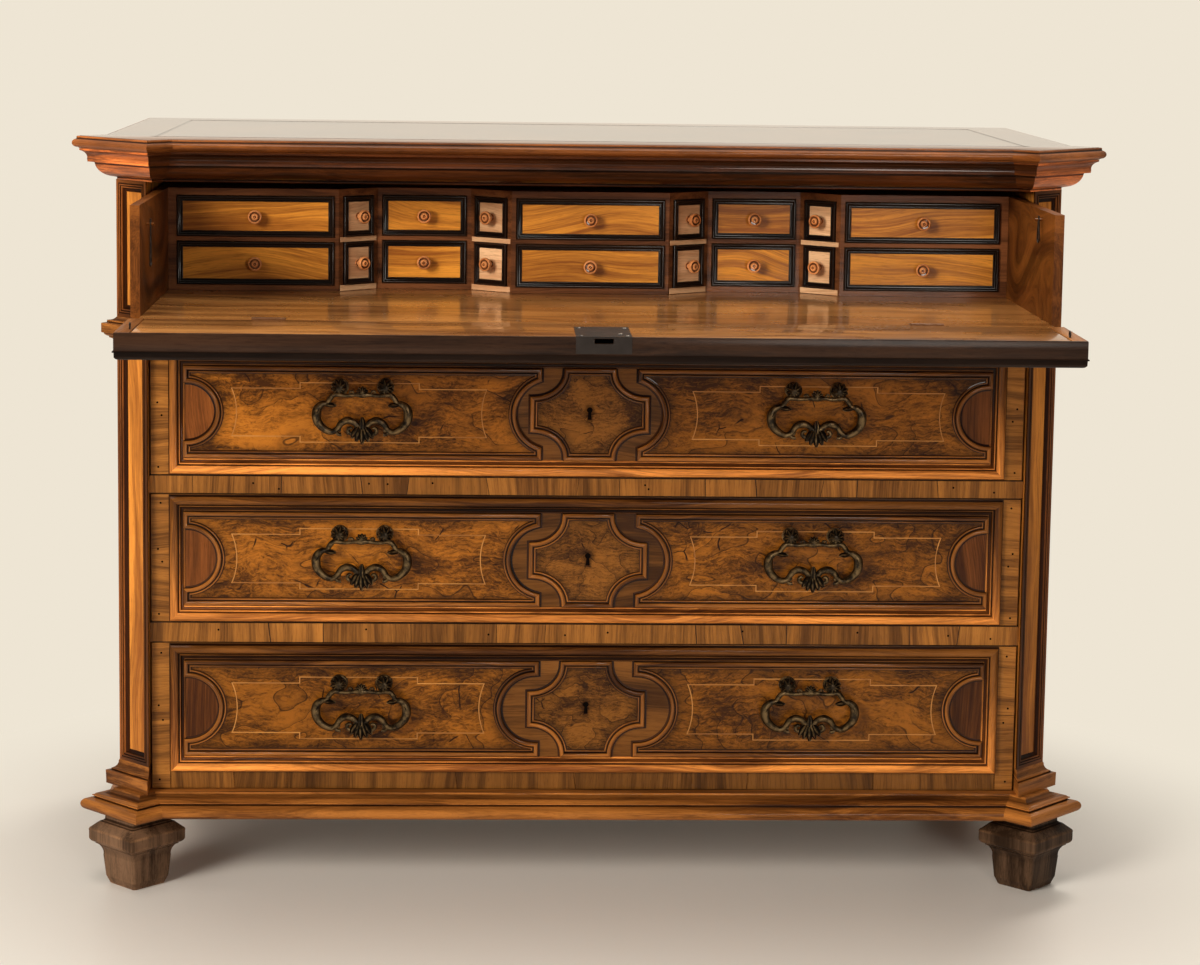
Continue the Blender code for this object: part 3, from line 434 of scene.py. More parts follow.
def piece(name, stock, finish, body, replaces=()):
    """Object of a stock's surfaces, welded, faces outwards, riding on a body."""
    points, loops, sizes = (np.concatenate(part) for part in (stock.points, stock.loops, stock.sizes))
    mesh = bpy.data.meshes.new(name)
    mesh.vertices.add(len(points))
    mesh.vertices.foreach_set("co", points.astype(np.float32).ravel())
    mesh.loops.add(len(loops))
    mesh.loops.foreach_set("vertex_index", loops.astype(np.int32))
    mesh.polygons.add(len(sizes))
    mesh.polygons.foreach_set("loop_start", (np.cumsum(sizes) - sizes).astype(np.int32))
    mesh.update(calc_edges=True)
    grain = mesh.attributes.new("grain", "FLOAT_VECTOR", "CORNER")
    grain.data.foreach_set("vector", np.concatenate(stock.grain)[loops].astype(np.float32).ravel())
    for label, values in (("relief", stock.relief), ("tone", stock.tones)):
        held = mesh.attributes.new(label, "FLOAT", "CORNER")
        held.data.foreach_set("value", np.concatenate(values)[loops].astype(np.float32))
    welded = bmesh.new()
    welded.from_mesh(mesh)
    bmesh.ops.remove_doubles(welded, verts=welded.verts, dist=WELD)
    bmesh.ops.dissolve_degenerate(welded, dist=SPECK, edges=welded.edges)
    bmesh.ops.recalc_face_normals(welded, faces=welded.faces)
    welded.to_mesh(mesh)
    welded.free()
    mesh.shade_smooth()
    mesh.set_sharp_from_angle(angle=SHARP)
    mesh.materials.append(finish)
    obj = bpy.data.objects.new(name, mesh)
    bpy.context.scene.collection.objects.link(obj)
    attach(obj, body)
    if replaces:
        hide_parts(*replaces)


def dress_node(name, finish):
    """Gives a carried-over node of the frame its finish."""
    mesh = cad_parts[name].data
    mesh.materials.clear()
    mesh.materials.append(finish)


# Finishes

def linear(red, green, blue):
    """Linear colour of a screen colour given in 0 to 255."""
    share = np.array((red, green, blue)) / 255
    return tuple(np.where(share <= 0.04045, share / 12.92, ((share + 0.055) / 1.055) ** 2.4).tolist())


def node(tree, kind, inputs=None, **settings):
    """New shader node with its settings, and its sockets set or linked."""
    made = tree.nodes.new("ShaderNode" + kind)
    for key, value in settings.items():
        setattr(made, key, value)
    for key, value in (inputs or {}).items():
        socket = made.inputs[key]
        if isinstance(value, bpy.types.NodeSocket):
            tree.links.new(value, socket)
        else:
            socket.default_value = value
    return made


def sums(tree, operation, first, second=0.0, third=0.0, clamp=False):
    """Math node's value."""
    return node(tree, "Math", {0: first, 1: second, 2: third}, operation=operation, use_clamp=clamp).outputs[0]


def scaled(tree, vector, scale):
    """Vector times a scale on each axis."""
    return node(tree, "VectorMath", {0: vector, 1: scale}, operation="MULTIPLY").outputs[0]


def noise(tree, vector, detail=2.0, roughness=0.55, distortion=0.0):
    """Noise of a vector that is already to scale."""
    return node(tree, "TexNoise", {"Vector": vector, "Scale": 1.0, "Detail": detail, "Roughness": roughness,
                                   "Distortion": distortion}).outputs["Fac"]


def span(tree, value, low, high, to_low=0.0, to_high=1.0):
    """Value brought from one range to another, clamped."""
    return node(tree, "MapRange", {"Value": value, "From Min": low, "From Max": high, "To Min": to_low,
                                   "To Max": to_high}, interpolation_type="SMOOTHSTEP").outputs["Result"]


def blend(tree, factor, first, second, kind="MIX"):
    """Mix of two colours."""
    return node(tree, "Mix", {0: factor, 6: first, 7: second}, data_type="RGBA", blend_type=kind).outputs[2]


def new_group(name, inputs, outputs):
    """Empty shader group with named sockets, its input node and its output node."""
    group = bpy.data.node_groups.new(name, "ShaderNodeTree")
    for direction, sockets in (("INPUT", inputs), ("OUTPUT", outputs)):
        for label, kind, *default in sockets:
            socket = group.interface.new_socket(label, in_out=direction, socket_type="NodeSocket" + kind)
            if default:
                socket.default_value = default[0]
    return group, group.nodes.new("NodeGroupInput").outputs, group.nodes.new("NodeGroupOutput").inputs


def timber_group():
    """Straight walnut: bands and streaks along the first axis, fine fibres, and pores as short dark dashes.

    In every group a noise is scaled by its cycles per metre along, across and through the grain.
    """
    tree, given, out = new_group(
        "Timber", (("Vector", "Vector"), ("Light", "Color"), ("Dark", "Color"), ("Bands", "Float", 26.0),
                   ("Sway", "Float", 0.5)),
        (("Colour", "Color"), ("Height", "Float")))
    sway = noise(tree, scaled(tree, given["Vector"], (3.5, 5, 5)), 1.0)
    lift = node(tree, "CombineXYZ", {1: sums(tree, "MULTIPLY", sums(tree, "SUBTRACT", sway, 0.5), given["Sway"])})
    bent = node(tree, "VectorMath", {0: given["Vector"], 1: scaled(tree, lift.outputs[0], (0, 0.12, 0))},
                operation="ADD").outputs[0]
    across = node(tree, "CombineXYZ", {0: 2.4, 1: given["Bands"], 2: given["Bands"]}).outputs[0]
    broad = noise(tree, scaled(tree, bent, across), 4.0, 0.62, 0.4)
    fibre = noise(tree, scaled(tree, bent, (11, 420, 420)), 2.0, 0.6)
    tone = noise(tree, scaled(tree, given["Vector"], (1.3, 6, 6)), 1.0)
    pores = noise(tree, scaled(tree, bent, (60, 1500, 1500)), 1.0)
    value = sums(tree, "MULTIPLY_ADD", fibre, 0.22,
                 sums(tree, "MULTIPLY_ADD", broad, 0.55, sums(tree, "MULTIPLY", tone, 0.23)))
    wood = blend(tree, span(tree, value, 0.38, 0.62), given["Dark"], given["Light"])
    pit = span(tree, pores, 0.56, 0.70)
    dark = blend(tree, 1.0, wood, (0.45, 0.36, 0.30, 1), "MULTIPLY")
    tree.links.new(blend(tree, sums(tree, "MULTIPLY", pit, 0.55), wood, dark), out["Colour"])
    tree.links.new(sums(tree, "MULTIPLY_ADD", pit, -0.7, sums(tree, "MULTIPLY", fibre, 0.4)), out["Height"])
    return tree


def burl_group():
    """Burr walnut: streaks and clouds bent by a warp, with veins, cracks and knots.

    The veins are thin lines along the contours of a low noise, darker on their lower side, like hills one behind
    the other. The cracks are short runs of cell edges, and the knots are dark cells in places.
    """
    tree, given, out = new_group(
        "Burl", (("Vector", "Vector"), ("Light", "Color"), ("Dark", "Color"), ("Vein", "Color"), ("Size", "Float", 1.0),
                 ("Knots", "Float", 0.5)),
        (("Colour", "Color"), ("Height", "Float")))
    place = node(tree, "VectorMath", {0: given["Vector"], "Scale": given["Size"]}, operation="SCALE").outputs[0]
    warp = node(tree, "TexNoise", {"Vector": place, "Scale": 9.0, "Detail": 3.0}).outputs["Color"]
    push = node(tree, "VectorMath", {0: warp, 1: (-0.5, -0.5, -0.5)}, operation="ADD").outputs[0]
    bent = node(tree, "VectorMath", {0: place, 1: scaled(tree, push, (0.06, 0.06, 0.06))}, operation="ADD").outputs[0]
    cloud = noise(tree, scaled(tree, bent, (9, 17, 17)), 4.0, 0.6, 0.3)
    streak = noise(tree, scaled(tree, bent, (26, 230, 230)), 3.0, 0.6)
    curl = noise(tree, scaled(tree, bent, (110, 240, 240)), 3.0, 0.7, 1.2)
    value = sums(tree, "MULTIPLY_ADD", curl, 0.32, sums(tree, "MULTIPLY_ADD", streak, 0.24,
                                                        sums(tree, "MULTIPLY", cloud, 0.44)))
    wood = blend(tree, span(tree, value, 0.39, 0.61), given["Dark"], given["Light"])
    hills = sums(tree, "MULTIPLY", noise(tree, scaled(tree, bent, (5.5, 9.5, 9.5)), 2.0, 0.5), 8.0)
    contour = sums(tree, "FRACT", hills)
    where = span(tree, noise(tree, scaled(tree, place, (8, 8, 8)), 1.0), 0.32, 0.44)
    line = sums(tree, "MULTIPLY", span(tree, contour, 0.0, 0.016), span(tree, contour, 0.03, 0.075, 1.0, 0.0))
    vein = sums(tree, "MULTIPLY", line, where)
    shade = sums(tree, "MULTIPLY", span(tree, contour, 0.03, 0.45, 0.34, 0.0), where)
    edges = node(tree, "TexVoronoi", {"Vector": bent, "Scale": 13.0}, feature="DISTANCE_TO_EDGE").outputs["Distance"]
    torn = span(tree, noise(tree, scaled(tree, place, (21, 21, 21)), 2.0), 0.56, 0.62)
    crack = sums(tree, "MULTIPLY", span(tree, edges, 0.004, 0.018, 1.0, 0.0), torn)
    cells = node(tree, "TexVoronoi", {"Vector": bent, "Scale": 36.0}).outputs["Distance"]
    spots = span(tree, noise(tree, scaled(tree, place, (13, 13, 13)), 1.0), 0.54, 0.64)
    knot = sums(tree, "MULTIPLY", span(tree, cells, 0.05, 0.26, 1.0, 0.0), spots)
    knot = sums(tree, "MULTIPLY", knot, given["Knots"])
    mark = sums(tree, "MAXIMUM", sums(tree, "MAXIMUM", sums(tree, "MULTIPLY", vein, 0.8), crack),
                sums(tree, "MAXIMUM", shade, knot))
    tree.links.new(blend(tree, mark, wood, given["Vein"]), out["Colour"])
    tree.links.new(sums(tree, "MULTIPLY_ADD", sums(tree, "MAXIMUM", crack, vein), -0.8,
                        sums(tree, "MULTIPLY", streak, 0.3)), out["Height"])
    return tree


def wear_and_shade_group():
    """Aged polish: crests rubbed lighter, hollows darkened partly by dark residue of old polish and partly as
    painted shade, blotches, and an uneven gloss.
    """
    tree, given, out = new_group(
        "Old polish", (("Colour", "Color"), ("Vector", "Vector"), ("Rub", "Float", 0.3), ("Wax", "Float", 0.7),
                       ("Roughness", "Float", 0.35)),
        (("Colour", "Color"), ("Roughness", "Float"), ("Crest", "Float")))
    relief = node(tree, "Attribute", attribute_name="relief").outputs["Fac"]
    tone = sums(tree, "POWER", 2.0, node(tree, "Attribute", attribute_name="tone").outputs["Fac"])
    toned = node(tree, "VectorMath", {0: given["Colour"], "Scale": tone}, operation="SCALE").outputs[0]
    patch = noise(tree, scaled(tree, given["Vector"], (18, 18, 18)), 3.0, 0.6)
    cloud = noise(tree, scaled(tree, given["Vector"], (4, 4, 4)), 2.0)
    crest = sums(tree, "MULTIPLY", span(tree, relief, 0.05, 0.9), span(tree, patch, 0.35, 0.65), clamp=True)
    # Hollows darkened: old polish lodged there, and painted shade
    hollow = span(tree, relief, -0.03, -0.55)
    light = blend(tree, 1.0, toned, (1.9, 1.75, 1.5, 1), "MULTIPLY")
    dark = blend(tree, 1.0, toned, (0.13, 0.10, 0.08, 1), "MULTIPLY")
    cloudy = blend(tree, span(tree, cloud, 0.35, 0.7, 0.0, 0.30), toned, dark)
    rubbed = blend(tree, sums(tree, "MULTIPLY", crest, given["Rub"]), cloudy, light)
    tree.links.new(blend(tree, sums(tree, "MULTIPLY", hollow, given["Wax"]), rubbed, dark), out["Colour"])
    gloss = sums(tree, "MULTIPLY_ADD", sums(tree, "SUBTRACT", patch, 0.5), 0.30, given["Roughness"])
    tree.links.new(sums(tree, "MULTIPLY_ADD", hollow, 0.25, gloss, clamp=True), out["Roughness"])
    tree.links.new(crest, out["Crest"])
    return tree


GROUPS = {}


def group_node(tree, name, inputs):
    """One of the shared effects, built at its first use."""
    if name not in GROUPS:
        GROUPS[name] = {"timber": timber_group, "burl": burl_group, "polish": wear_and_shade_group}[name]()
    return node(tree, "Group", inputs, node_tree=GROUPS[name]).outputs


def rgba(colour):
    """Colour property as a node colour."""
    return (*colour, 1.0)


def place_in_timber(tree, order):
    """The piece's own place in the timber, or Object coordinates with the axes put in order for a frame node."""
    if order is None:
        return node(tree, "Attribute", attribute_name="grain").outputs["Vector"]
    axes = node(tree, "SeparateXYZ", {0: node(tree, "TexCoord").outputs["Object"]}).outputs
    return node(tree, "CombineXYZ", {0: axes[order[0]], 1: axes[order[1]], 2: axes[order[2]]}).outputs[0]


def new_finish(name):
    """Empty material, its tree and its shader."""
    made = bpy.data.materials.new(name)
    made.use_nodes = True
    return made, made.node_tree, made.node_tree.nodes["Principled BSDF"]


def bumpy(tree, shader, height, strength, distance):
    """Leads a height into the shader's normal."""
    lumps = node(tree, "Bump", {"Height": height, "Strength": strength, "Distance": distance})
    tree.links.new(lumps.outputs[0], shader.inputs["Normal"])


def wood(name, light, dark, rough=0.5, shine=0.08, coat=0.12, coat_rough=0.16, coat_ior=1.5, rub=0.3, wax_and_shade=0.7,
         bands=26.0, sway=0.5, bump=0.22, order=None, vein=None, size=1.0, knots=0.5):
    """Polished wood: timber, or burl where a vein colour is given, under old polish."""
    made, tree, shader = new_finish(name)
    vector = place_in_timber(tree, order)
    figure = {"Vector": vector, "Light": light, "Dark": dark}
    if vein is None:
        veneer = group_node(tree, "timber", {**figure, "Bands": bands, "Sway": sway})
    else:
        veneer = group_node(tree, "burl", {**figure, "Vein": vein, "Size": size, "Knots": knots})
    polish = group_node(tree, "polish", {"Colour": veneer["Colour"], "Vector": vector, "Rub": rub, "Wax": wax_and_shade,
                                         "Roughness": rough})
    tree.links.new(polish["Colour"], shader.inputs["Base Color"])
    tree.links.new(polish["Roughness"], shader.inputs["Roughness"])
    for socket, value in (("Specular IOR Level", shine), ("Coat Weight", coat), ("Coat Roughness", coat_rough),
                          ("Coat IOR", coat_ior)):
        shader.inputs[socket].default_value = value
    bumpy(tree, shader, veneer["Height"], bump, GRAIN_DEPTH)
    return made


def metal(name, bright, dark, rough, metallic):
    """Old metal: dark patina, bright where the crests are rubbed, with a grainy skin."""
    made, tree, shader = new_finish(name)
    vector = place_in_timber(tree, PLAIN)
    grainy = noise(tree, scaled(tree, vector, (700, 700, 700)), 2.0)
    polish = group_node(tree, "polish", {"Colour": dark, "Vector": scaled(tree, vector, (6, 6, 6)), "Rub": 0.0,
                                         "Wax": 0.8, "Roughness": rough})
    tree.links.new(blend(tree, polish["Crest"], polish["Colour"], bright), shader.inputs["Base Color"])
    tree.links.new(polish["Roughness"], shader.inputs["Roughness"])
    shader.inputs["Metallic"].default_value = metallic
    bumpy(tree, shader, grainy, 0.25, CAST_DEPTH)
    return made


# Finishes by name: the material's name, its pair of colours, and what sets it apart from the usual polish
BARE = {"rough": 0.6, "coat": 0.0}
ROUGH_SAWN = {"rough": 0.7, "coat": 0.0}
WRITING = {"rough": 0.30, "coat": 0.6, "coat_rough": 0.10, "sway": 1.2, "bump": 0.12}
MIRROR = {"shine": 0.0, "coat": 1.0, "coat_rough": 0.07, "bump": 0.03, "coat_ior": 1.6}
TIMBERS = {
    "case": ("Corner post walnut", "case", {"bands": 34.0, "rub": 0.25}),
    "moulding": ("Moulding walnut", "moulding",
                 {"bands": 40.0, "coat": 0.16, "coat_rough": 0.06, "rub": 0.25, "wax_and_shade": 0.98}),
    "nose": ("Top edge walnut", "post", {"bands": 40.0, "coat": 0.35, "coat_rough": 0.10, "wax_and_shade": 0.97}),
    "bead": ("Bead walnut", "bead", {"bands": 60.0, "coat": 0.35, "coat_rough": 0.05, "rub": 0.15, "wax_and_shade": 0.98}),
    "post": ("Corner post mouldings", "post", {"bands": 40.0, "rub": 0.35, "wax_and_shade": 0.97}),
    # The cornice's dark colours are painted shade under the top's edge
    "cornice": ("Cornice walnut", "cornice",
                {"bands": 30.0, "coat": 0.4, "coat_rough": 0.09, "rub": 0.35, "wax_and_shade": 0.97}),
    "ground": ("Ground walnut", "ground", {"bands": 30.0}),
    "band": ("Crossbanding", "band", {"bands": 64.0, "sway": 0.4}),
    "lunette": ("Lunette walnut", "lunette", {"bands": 50.0}),
    "string": ("Pale stringing", "string", {"bands": 200.0, "rub": 0.0, "wax_and_shade": 0.0}),
    "ebony": ("Ebonised pearwood", "ebony", {"bands": 90.0, "coat": 0.6, "rub": 0.6, "wax_and_shade": 0.6}),
    "field": ("Small drawer walnut", "field", {"bands": 64.0, "coat": 0.25, "coat_rough": 0.25, "sway": 0.9}),
    # Pale angled drawers and their facets: painted reflection of the light at the sides
    "angle": ("Angled small drawers", "angle", {"bands": 60.0, "coat": 0.25, "coat_rough": 0.2}),
    "knob": ("Turned knobs", "knob", {"bands": 90.0, "coat": 0.7, "coat_rough": 0.08, "rub": 0.4, "wax_and_shade": 0.95}),
    "lining": ("Drawer linings", "lining", {**BARE, "order": PLAIN}),
    "small_lining": ("Small drawer linings", "lining", BARE),
    "under": ("Bottom board", "back", {**ROUGH_SAWN, "order": PLAIN}),
    "back": ("Back boards", "back", {**ROUGH_SAWN, "bands": 18.0}),
    "writing": ("Writing surface", "writing", {**WRITING, "order": PLAIN}),
    "fall": ("Fall surface", "writing", WRITING),
    "clamp": ("Fall end clamps", "clamp", {"bands": 40.0}),
    "lip": ("Fall lipping", "lip", {"bands": 50.0, "wax_and_shade": 0.5}),
    "tray": ("Tray sides", "tray", {"bands": 22.0, "sway": 3.0, "order": (1, 2, 0)}),
    "nest": ("Nest walnut", "nest", {"bands": 60.0, "coat": 0.2, "order": FLAT}),
    "rail": ("Rails behind the veneer", "lip", {"order": TALL}),
    "foot": ("Feet", "foot", {"rough": 0.55, "coat": 0.05, "bands": 45.0, "rub": 0.8, "wax_and_shade": 0.9}),
    "top": ("Top walnut", "top", {**MIRROR, "bands": 44.0}),
    # Near-black finish of the pins, and of the keyhole sheets, which are painted shade
    "pin": ("Pins and keyholes", "pin", {"rough": 0.8, "shine": 0.02, "coat": 0.0}),
}
BURLS = {
    "burl": ("Burl panels", "burl", {}),
    "shield": ("Burl shields", "shield", {"size": 1.6, "knots": 1.0}),
    "top_burl": ("Top burl", "top", {**MIRROR, "size": 0.8}),
}
METALS = {
    "bronze": ("Handle bronze", "bronze", {"rough": 0.34, "metallic": 0.75}),
    "hinge": ("Hinge brass", "hinge", {"rough": 0.45, "metallic": 0.5}),
    "iron": ("Lock iron", "iron", {"rough": 0.45, "metallic": 0.8}),
}
FINISHES = {}


def finish(name):
    """A finish of the commode by name, made at its first use from the scene's colours."""
    if name not in FINISHES:
        c = bpy.context.scene.commode_colours
        label, pair, values = {**TIMBERS, **BURLS, **METALS}[name]
        colours = rgba(getattr(c, pair + "_light")), rgba(getattr(c, pair + "_dark"))
        if name in BURLS:
            values = {**values, "vein": rgba(c.burl_vein)}
        FINISHES[name] = (metal if name in METALS else wood)(label, *colours, **values)
    return FINISHES[name]


# Pieces: profiles as marks of (outward or inward, height, bulge), or of (radius, height, bulge) where turned

CORNICE_MARKS = ((0.002, 0.0), (0.0035, 0.0012), (0.0035, 0.0034), (0.0062, 0.0042), (0.0258, 0.0232, 0.36),
                 (0.0272, 0.0248, -0.3), (0.0330, 0.0250), (0.0334, 0.0285), (0.0334, 0.0296), (0.0400, 0.0408, -0.36),
                 (0.0412, 0.0414), (0.0412, 0.0440))
NOSE_MARKS = ((0.036, 0.0003), (0.0415, 0.0003), (0.0432, 0.0016, -0.3), (0.0445, 0.0018), (0.0445, 0.0135, 0.72),
              (0.0438, 0.0150, -0.4), (0.0430, 0.0176, 0.3), (0.036, 0.0180))
BASE_MARKS = ((0.0205, 0.0), (0.0235, 0.0004), (0.0238, 0.0178, 0.95), (0.0222, 0.0186), (0.0170, 0.0188),
              (0.0170, 0.0212), (0.0196, 0.0216), (0.0196, 0.0228), (0.0178, 0.0232), (0.0080, 0.0262, 0.25),
              (-0.0026, 0.0318, -0.34), (-0.0026, 0.0330), (-0.0040, 0.0330))
FRAME_MARKS = ((-0.0022, -0.001), (-0.0022, 0.0006), (-0.0002, 0.0006), (0.0, 0.0072), (0.0008, 0.0080),
               (0.0112, 0.0076, -0.5), (0.0116, 0.0036), (0.0130, 0.0034), (0.0134, 0.0056),
               (0.0144, 0.0058), (0.0186, 0.0018, 0.34), (0.0194, 0.0012), (0.0196, 0.0024),
               (0.0208, 0.0012, -0.4), (0.0210, 0.0007), (0.0219, 0.0006), (0.0219, -0.001))
BEAD_MARKS = ((-0.0078, -0.0008), (-0.0078, 0.0006), (-0.0056, 0.0007), (-0.0052, 0.0030), (0.0012, 0.0030, -0.95),
              (0.0016, 0.0006), (0.0028, 0.0006), (0.0030, 0.0024), (0.0050, 0.0022, -0.9), (0.0053, 0.0006),
              (0.0062, 0.0005), (0.0062, -0.0008))
SMALL_FRAME_MARKS = ((0.0, -0.001), (0.0, 0.0028), (0.0008, 0.0034), (0.0026, 0.0034, -0.3), (0.0030, 0.0022),
                     (0.0060, 0.0012, 0.3), (0.0064, 0.0008), (0.0084, 0.0008, -0.9), (0.0086, -0.001))
PILASTER_MARKS = ((0.0, -0.0068), (0.0, -0.0003), (0.0003, 0.0), (0.0052, 0.0), (0.0056, -0.0007), (0.0064, -0.0007),
                  (0.0086, -0.0005, -0.95), (0.0090, -0.0016), (0.0098, -0.0016), (0.0118, -0.0018, -0.9),
                  (0.0122, -0.0028), (0.0166, -0.0052, 0.36), (0.0170, -0.0060), (0.0182, -0.0062),
                  (0.0182, -0.0068))
KNOB_MARKS = ((0.0055, -0.001), (0.0055, 0.0008), (0.0040, 0.0022, -0.5), (0.0038, 0.0085), (0.0048, 0.0100),
              (0.0082, 0.0108, 0.2), (0.0099, 0.0138, 0.5), (0.0082, 0.0172, 0.5), (0.0070, 0.0150), (0.0050, 0.0148),
              (0.0042, 0.0176, 0.3), (0.0024, 0.0182, 0.3), (0.0018, 0.0168), (0.0010, 0.0168), (0.0, 0.0184, 0.3))
FOOT_MARKS = ((0.0, 0.0), (0.0280, 0.0), (0.0300, 0.0030, 0.3), (0.0335, 0.012), (0.0362, 0.0425),
              (0.0398, 0.0565, -0.2), (0.0440, 0.0600, -0.2), (0.0446, 0.0622), (0.0468, 0.0626),
              (0.0508, 0.0690, 0.3), (0.0508, 0.0790), (0.0490, 0.0840, 0.35), (0.0400, 0.0925),
              (0.0362, 0.0944, -0.3), (0.0342, 0.0960), (0.0340, 0.1067), (0.0, 0.1067))
BAIL = ((0.0, 0.0, 1.5), (0.010, 0.0, 1.0), (0.024, -0.0015, 0.9), (0.0395, 0.0, 1.15), (0.0462, -0.0060, 1.2),
        (0.0500, -0.0120, 1.15), (0.0575, -0.0140, 1.5), (0.0640, -0.0200, 1.9), (0.0658, -0.0290, 2.1),
        (0.0640, -0.0390, 2.0), (0.0580, -0.0470, 1.8), (0.0500, -0.0525, 1.6), (0.0425, -0.0540, 1.4),
        (0.0360, -0.0500, 1.3), (0.0300, -0.0415, 1.5), (0.0215, -0.0375, 1.7), (0.0125, -0.0395, 1.5),
        (0.0060, -0.0450, 1.4), (0.0, -0.0480, 1.6))
SILL_MARKS = ((0.014, 0.0), (0.0144, 0.0185), (0.0140, 0.0196, 0.3), (0.0085, 0.0200), (0.0085, 0.0225),
              (0.0010, 0.0335, -0.35), (0.0, 0.0357))
WAIST_MARKS = ((0.0, -0.0405), (0.0012, -0.0385), (0.0080, -0.0305, -0.35), (0.0080, -0.0285), (0.0135, -0.0240, 0.3),
               (0.0160, -0.0230), (0.0160, -0.0095), (0.0100, -0.0080), (0.0100, -0.0050), (0.0, 0.0, -0.3))
STEM_MARKS = ((0.0, 0.002), (0.0075, 0.001), (0.0125, -0.0005), (0.0125, 0.0032), (0.0085, 0.0048, 0.3),
              (0.0070, 0.0110), (0.0095, 0.0165, 0.3), (0.0, 0.0215, 0.3))
BOSS_MARKS = ((0.0, -0.003), (0.0040, -0.003), (0.0044, 0.0015), (0.0, 0.0048, 0.35))
SCREW_MARKS = ((0.0, -0.0006), (0.0034, -0.0006), (0.0034, 0.0002), (0.0, 0.0009, 0.25))
PIN_MARKS = ((0.0, -0.0008), (0.0016, -0.0008), (0.0016, 0.0), (0.0, 0.00012))
SHEET_MARKS = ((0.0405, -0.001), (0.0405, 0.0), (0.0402, 0.0001))
FIELD_MARKS = ((-0.0352, -0.0005), (-0.0352, 0.0001), (-0.0354, 0.00015))
BORDER_MARKS = ((0.0, -0.0004), (0.0, 0.0002), (-0.0009, 0.0002), (-0.0009, -0.0004))

# Veneers and ornaments of the fronts
STRING_HALF, STRING_RISE, STRING_SINK = 0.0007, 0.00012, 0.0003
STRAP_INNER, STRAP_OUTER, STRAP_BOW = 0.149, 0.515, 0.2
STRAP_STEP = (0.246, 0.417)
STRAP_LOW, STRAP_HIGH, STRAP_PANEL = 0.0357, 0.0443, 0.0698
KEY_HEAD, KEY_HEAD_UP, KEY_FOOT, KEY_DROP = 0.0042, 0.0036, 0.0030, 0.0105
KEY_SINK, KEY_LAP, KEY_RISE, KEY_EDGE = 0.0008, 0.0004, 0.0001, 0.00002
PLATE_IN, LUNETTE_IN, LUNETTE_END = 0.003, 0.003, 0.0034
EDGE_DARKENING_REACH = 0.011
# Painted shade and light on frames and beads: darker at the top, lighter at the bottom, with painted shade on the
# beads' flanks and feet
BEAD_PAINTED_FLANK_SHADE, BEAD_PAINTED_SHADE, FRAME_PAINTED_SHADE = 1.3, 0.4, 1.2
# Painted shade: stops for the right and left panels of each drawer; the fall's shadow and the lamp at the left leave
# the right panels darker
PANEL_PAINTED_SHADES = ((-0.45, 0.0), (-0.3, 0.0), (-0.6, -0.35))
VENEER_WIDTHS, VENEER_RISE, VENEER_TONES = (0.4, 1.6), (0.8, 1.3), (-0.38, 0.25)
CRACK_LEAN, CRACK_WIDTH = (-4, 4), (0.2, 1.1)
BOLT_ROOM = 0.0006
STRIP_CUT, STRIP_PLAY, STRIP_GAP = 0.52, 0.0005, 0.0016
STRIP_PINS = ((0.06, 0.003), (0.47, -0.002), (0.57, 0.004), (0.93, 0.0))
BAND_VENEERS, BAND_GAP, BAND_TONE = 9, 0.0012, -0.7
RAIL_VENEERS, RAIL_PLAY = (10, 13, 11), 0.0006
RAIL_PINS, PIN_SPREAD, PIN_STRAY = 9, 0.6, 0.006

# Top, cornice and corner posts
BORDER_INSETS, BORDER_TONE = (-0.030, -0.034), -1.4
BACK_EDGE = 0.036
CORNICE_NOTCH = (0.017, 0.009)
# Painted light: the cornice's cants are lighter by this many times the cant stops
CORNICE_CANT_LIGHT = 3.8
POST_SUNK, POST_PANEL, POST_FLOOR = -0.0064, -0.0058, 0.0068
POST_PLAY, POST_PANEL_IN = 0.0008, 0.0176
FIELD_LAP = 0.0008
BACK_BOARDS, BOARD_LAP, BOARD_PROUD = 7, 0.0004, 4

# Bronzes. A leaf is x and z of its root, bearing in degrees, length, half width, thickness, distance out and flutes;
# a scroll is x, z, share of the full radius, first turn, way round, and thickness at both ends
BAIL_SWELL = 1.22
LEAF_SHAPE, LEAF_CURL = (0.4, 0.8, 1.0, 1.0, 0.8, 0.3), 0.0015
TONGUE = (0, -0.0325, 0, 0.022, 0.0050, 0.0050, 0.002, 3)
DROP_FAN, DROP_REACH, DROP_Z, DROP_LEAF = (-32, -16, 0, 16, 32), 0.008, -0.0450, (0.0050, 0.0066, 0.001)
DROP_LENGTH, DROP_SHORTER = 0.0245, 0.00015
CROWN_FAN, CROWN_UP, CROWN_LEAF = (110, 145, 180, 215, 250), 0.0035, (0.0085, 0.0026, 0.0034, 0.001)
SHOULDER_LEAVES = ((0.0545, -0.0135, 82, 0.0165, 0.0040, 0.0052, 0.0005),
                   (0.0600, -0.0165, -28, 0.0180, 0.0036, 0.0062, 0.0005))
SCROLL_TURN, SCROLL_R, SCROLL_FALL, SCROLL_STEPS = (112, 500), 0.0118, 0.26, 44
SCROLLS = ((0.0165, -0.0508, 1.0, 0.0, 1, (0.0038, 0.0022)), (0.0335, -0.0520, 0.55, 2.2, 1, (0.0028, 0.0015)),
           (0.0165, 0.0028, 0.42, 0.0, -1, (0.0020, 0.0010)))
STEM_UP = 0.003
HEAD_LEAF, HEAD_ROOT, HEAD_LEAN = (0.0036, 0.0064, 0.0150), (0.0012, 0.0035), 14
HEAD_LEAVES = ((180, 0.0135), (142, 0.0120), (218, 0.0120), (100, 0.0110), (260, 0.0110), (-25, 0.0110),
               (25, 0.0110), (62, 0.0105), (-62, 0.0105))

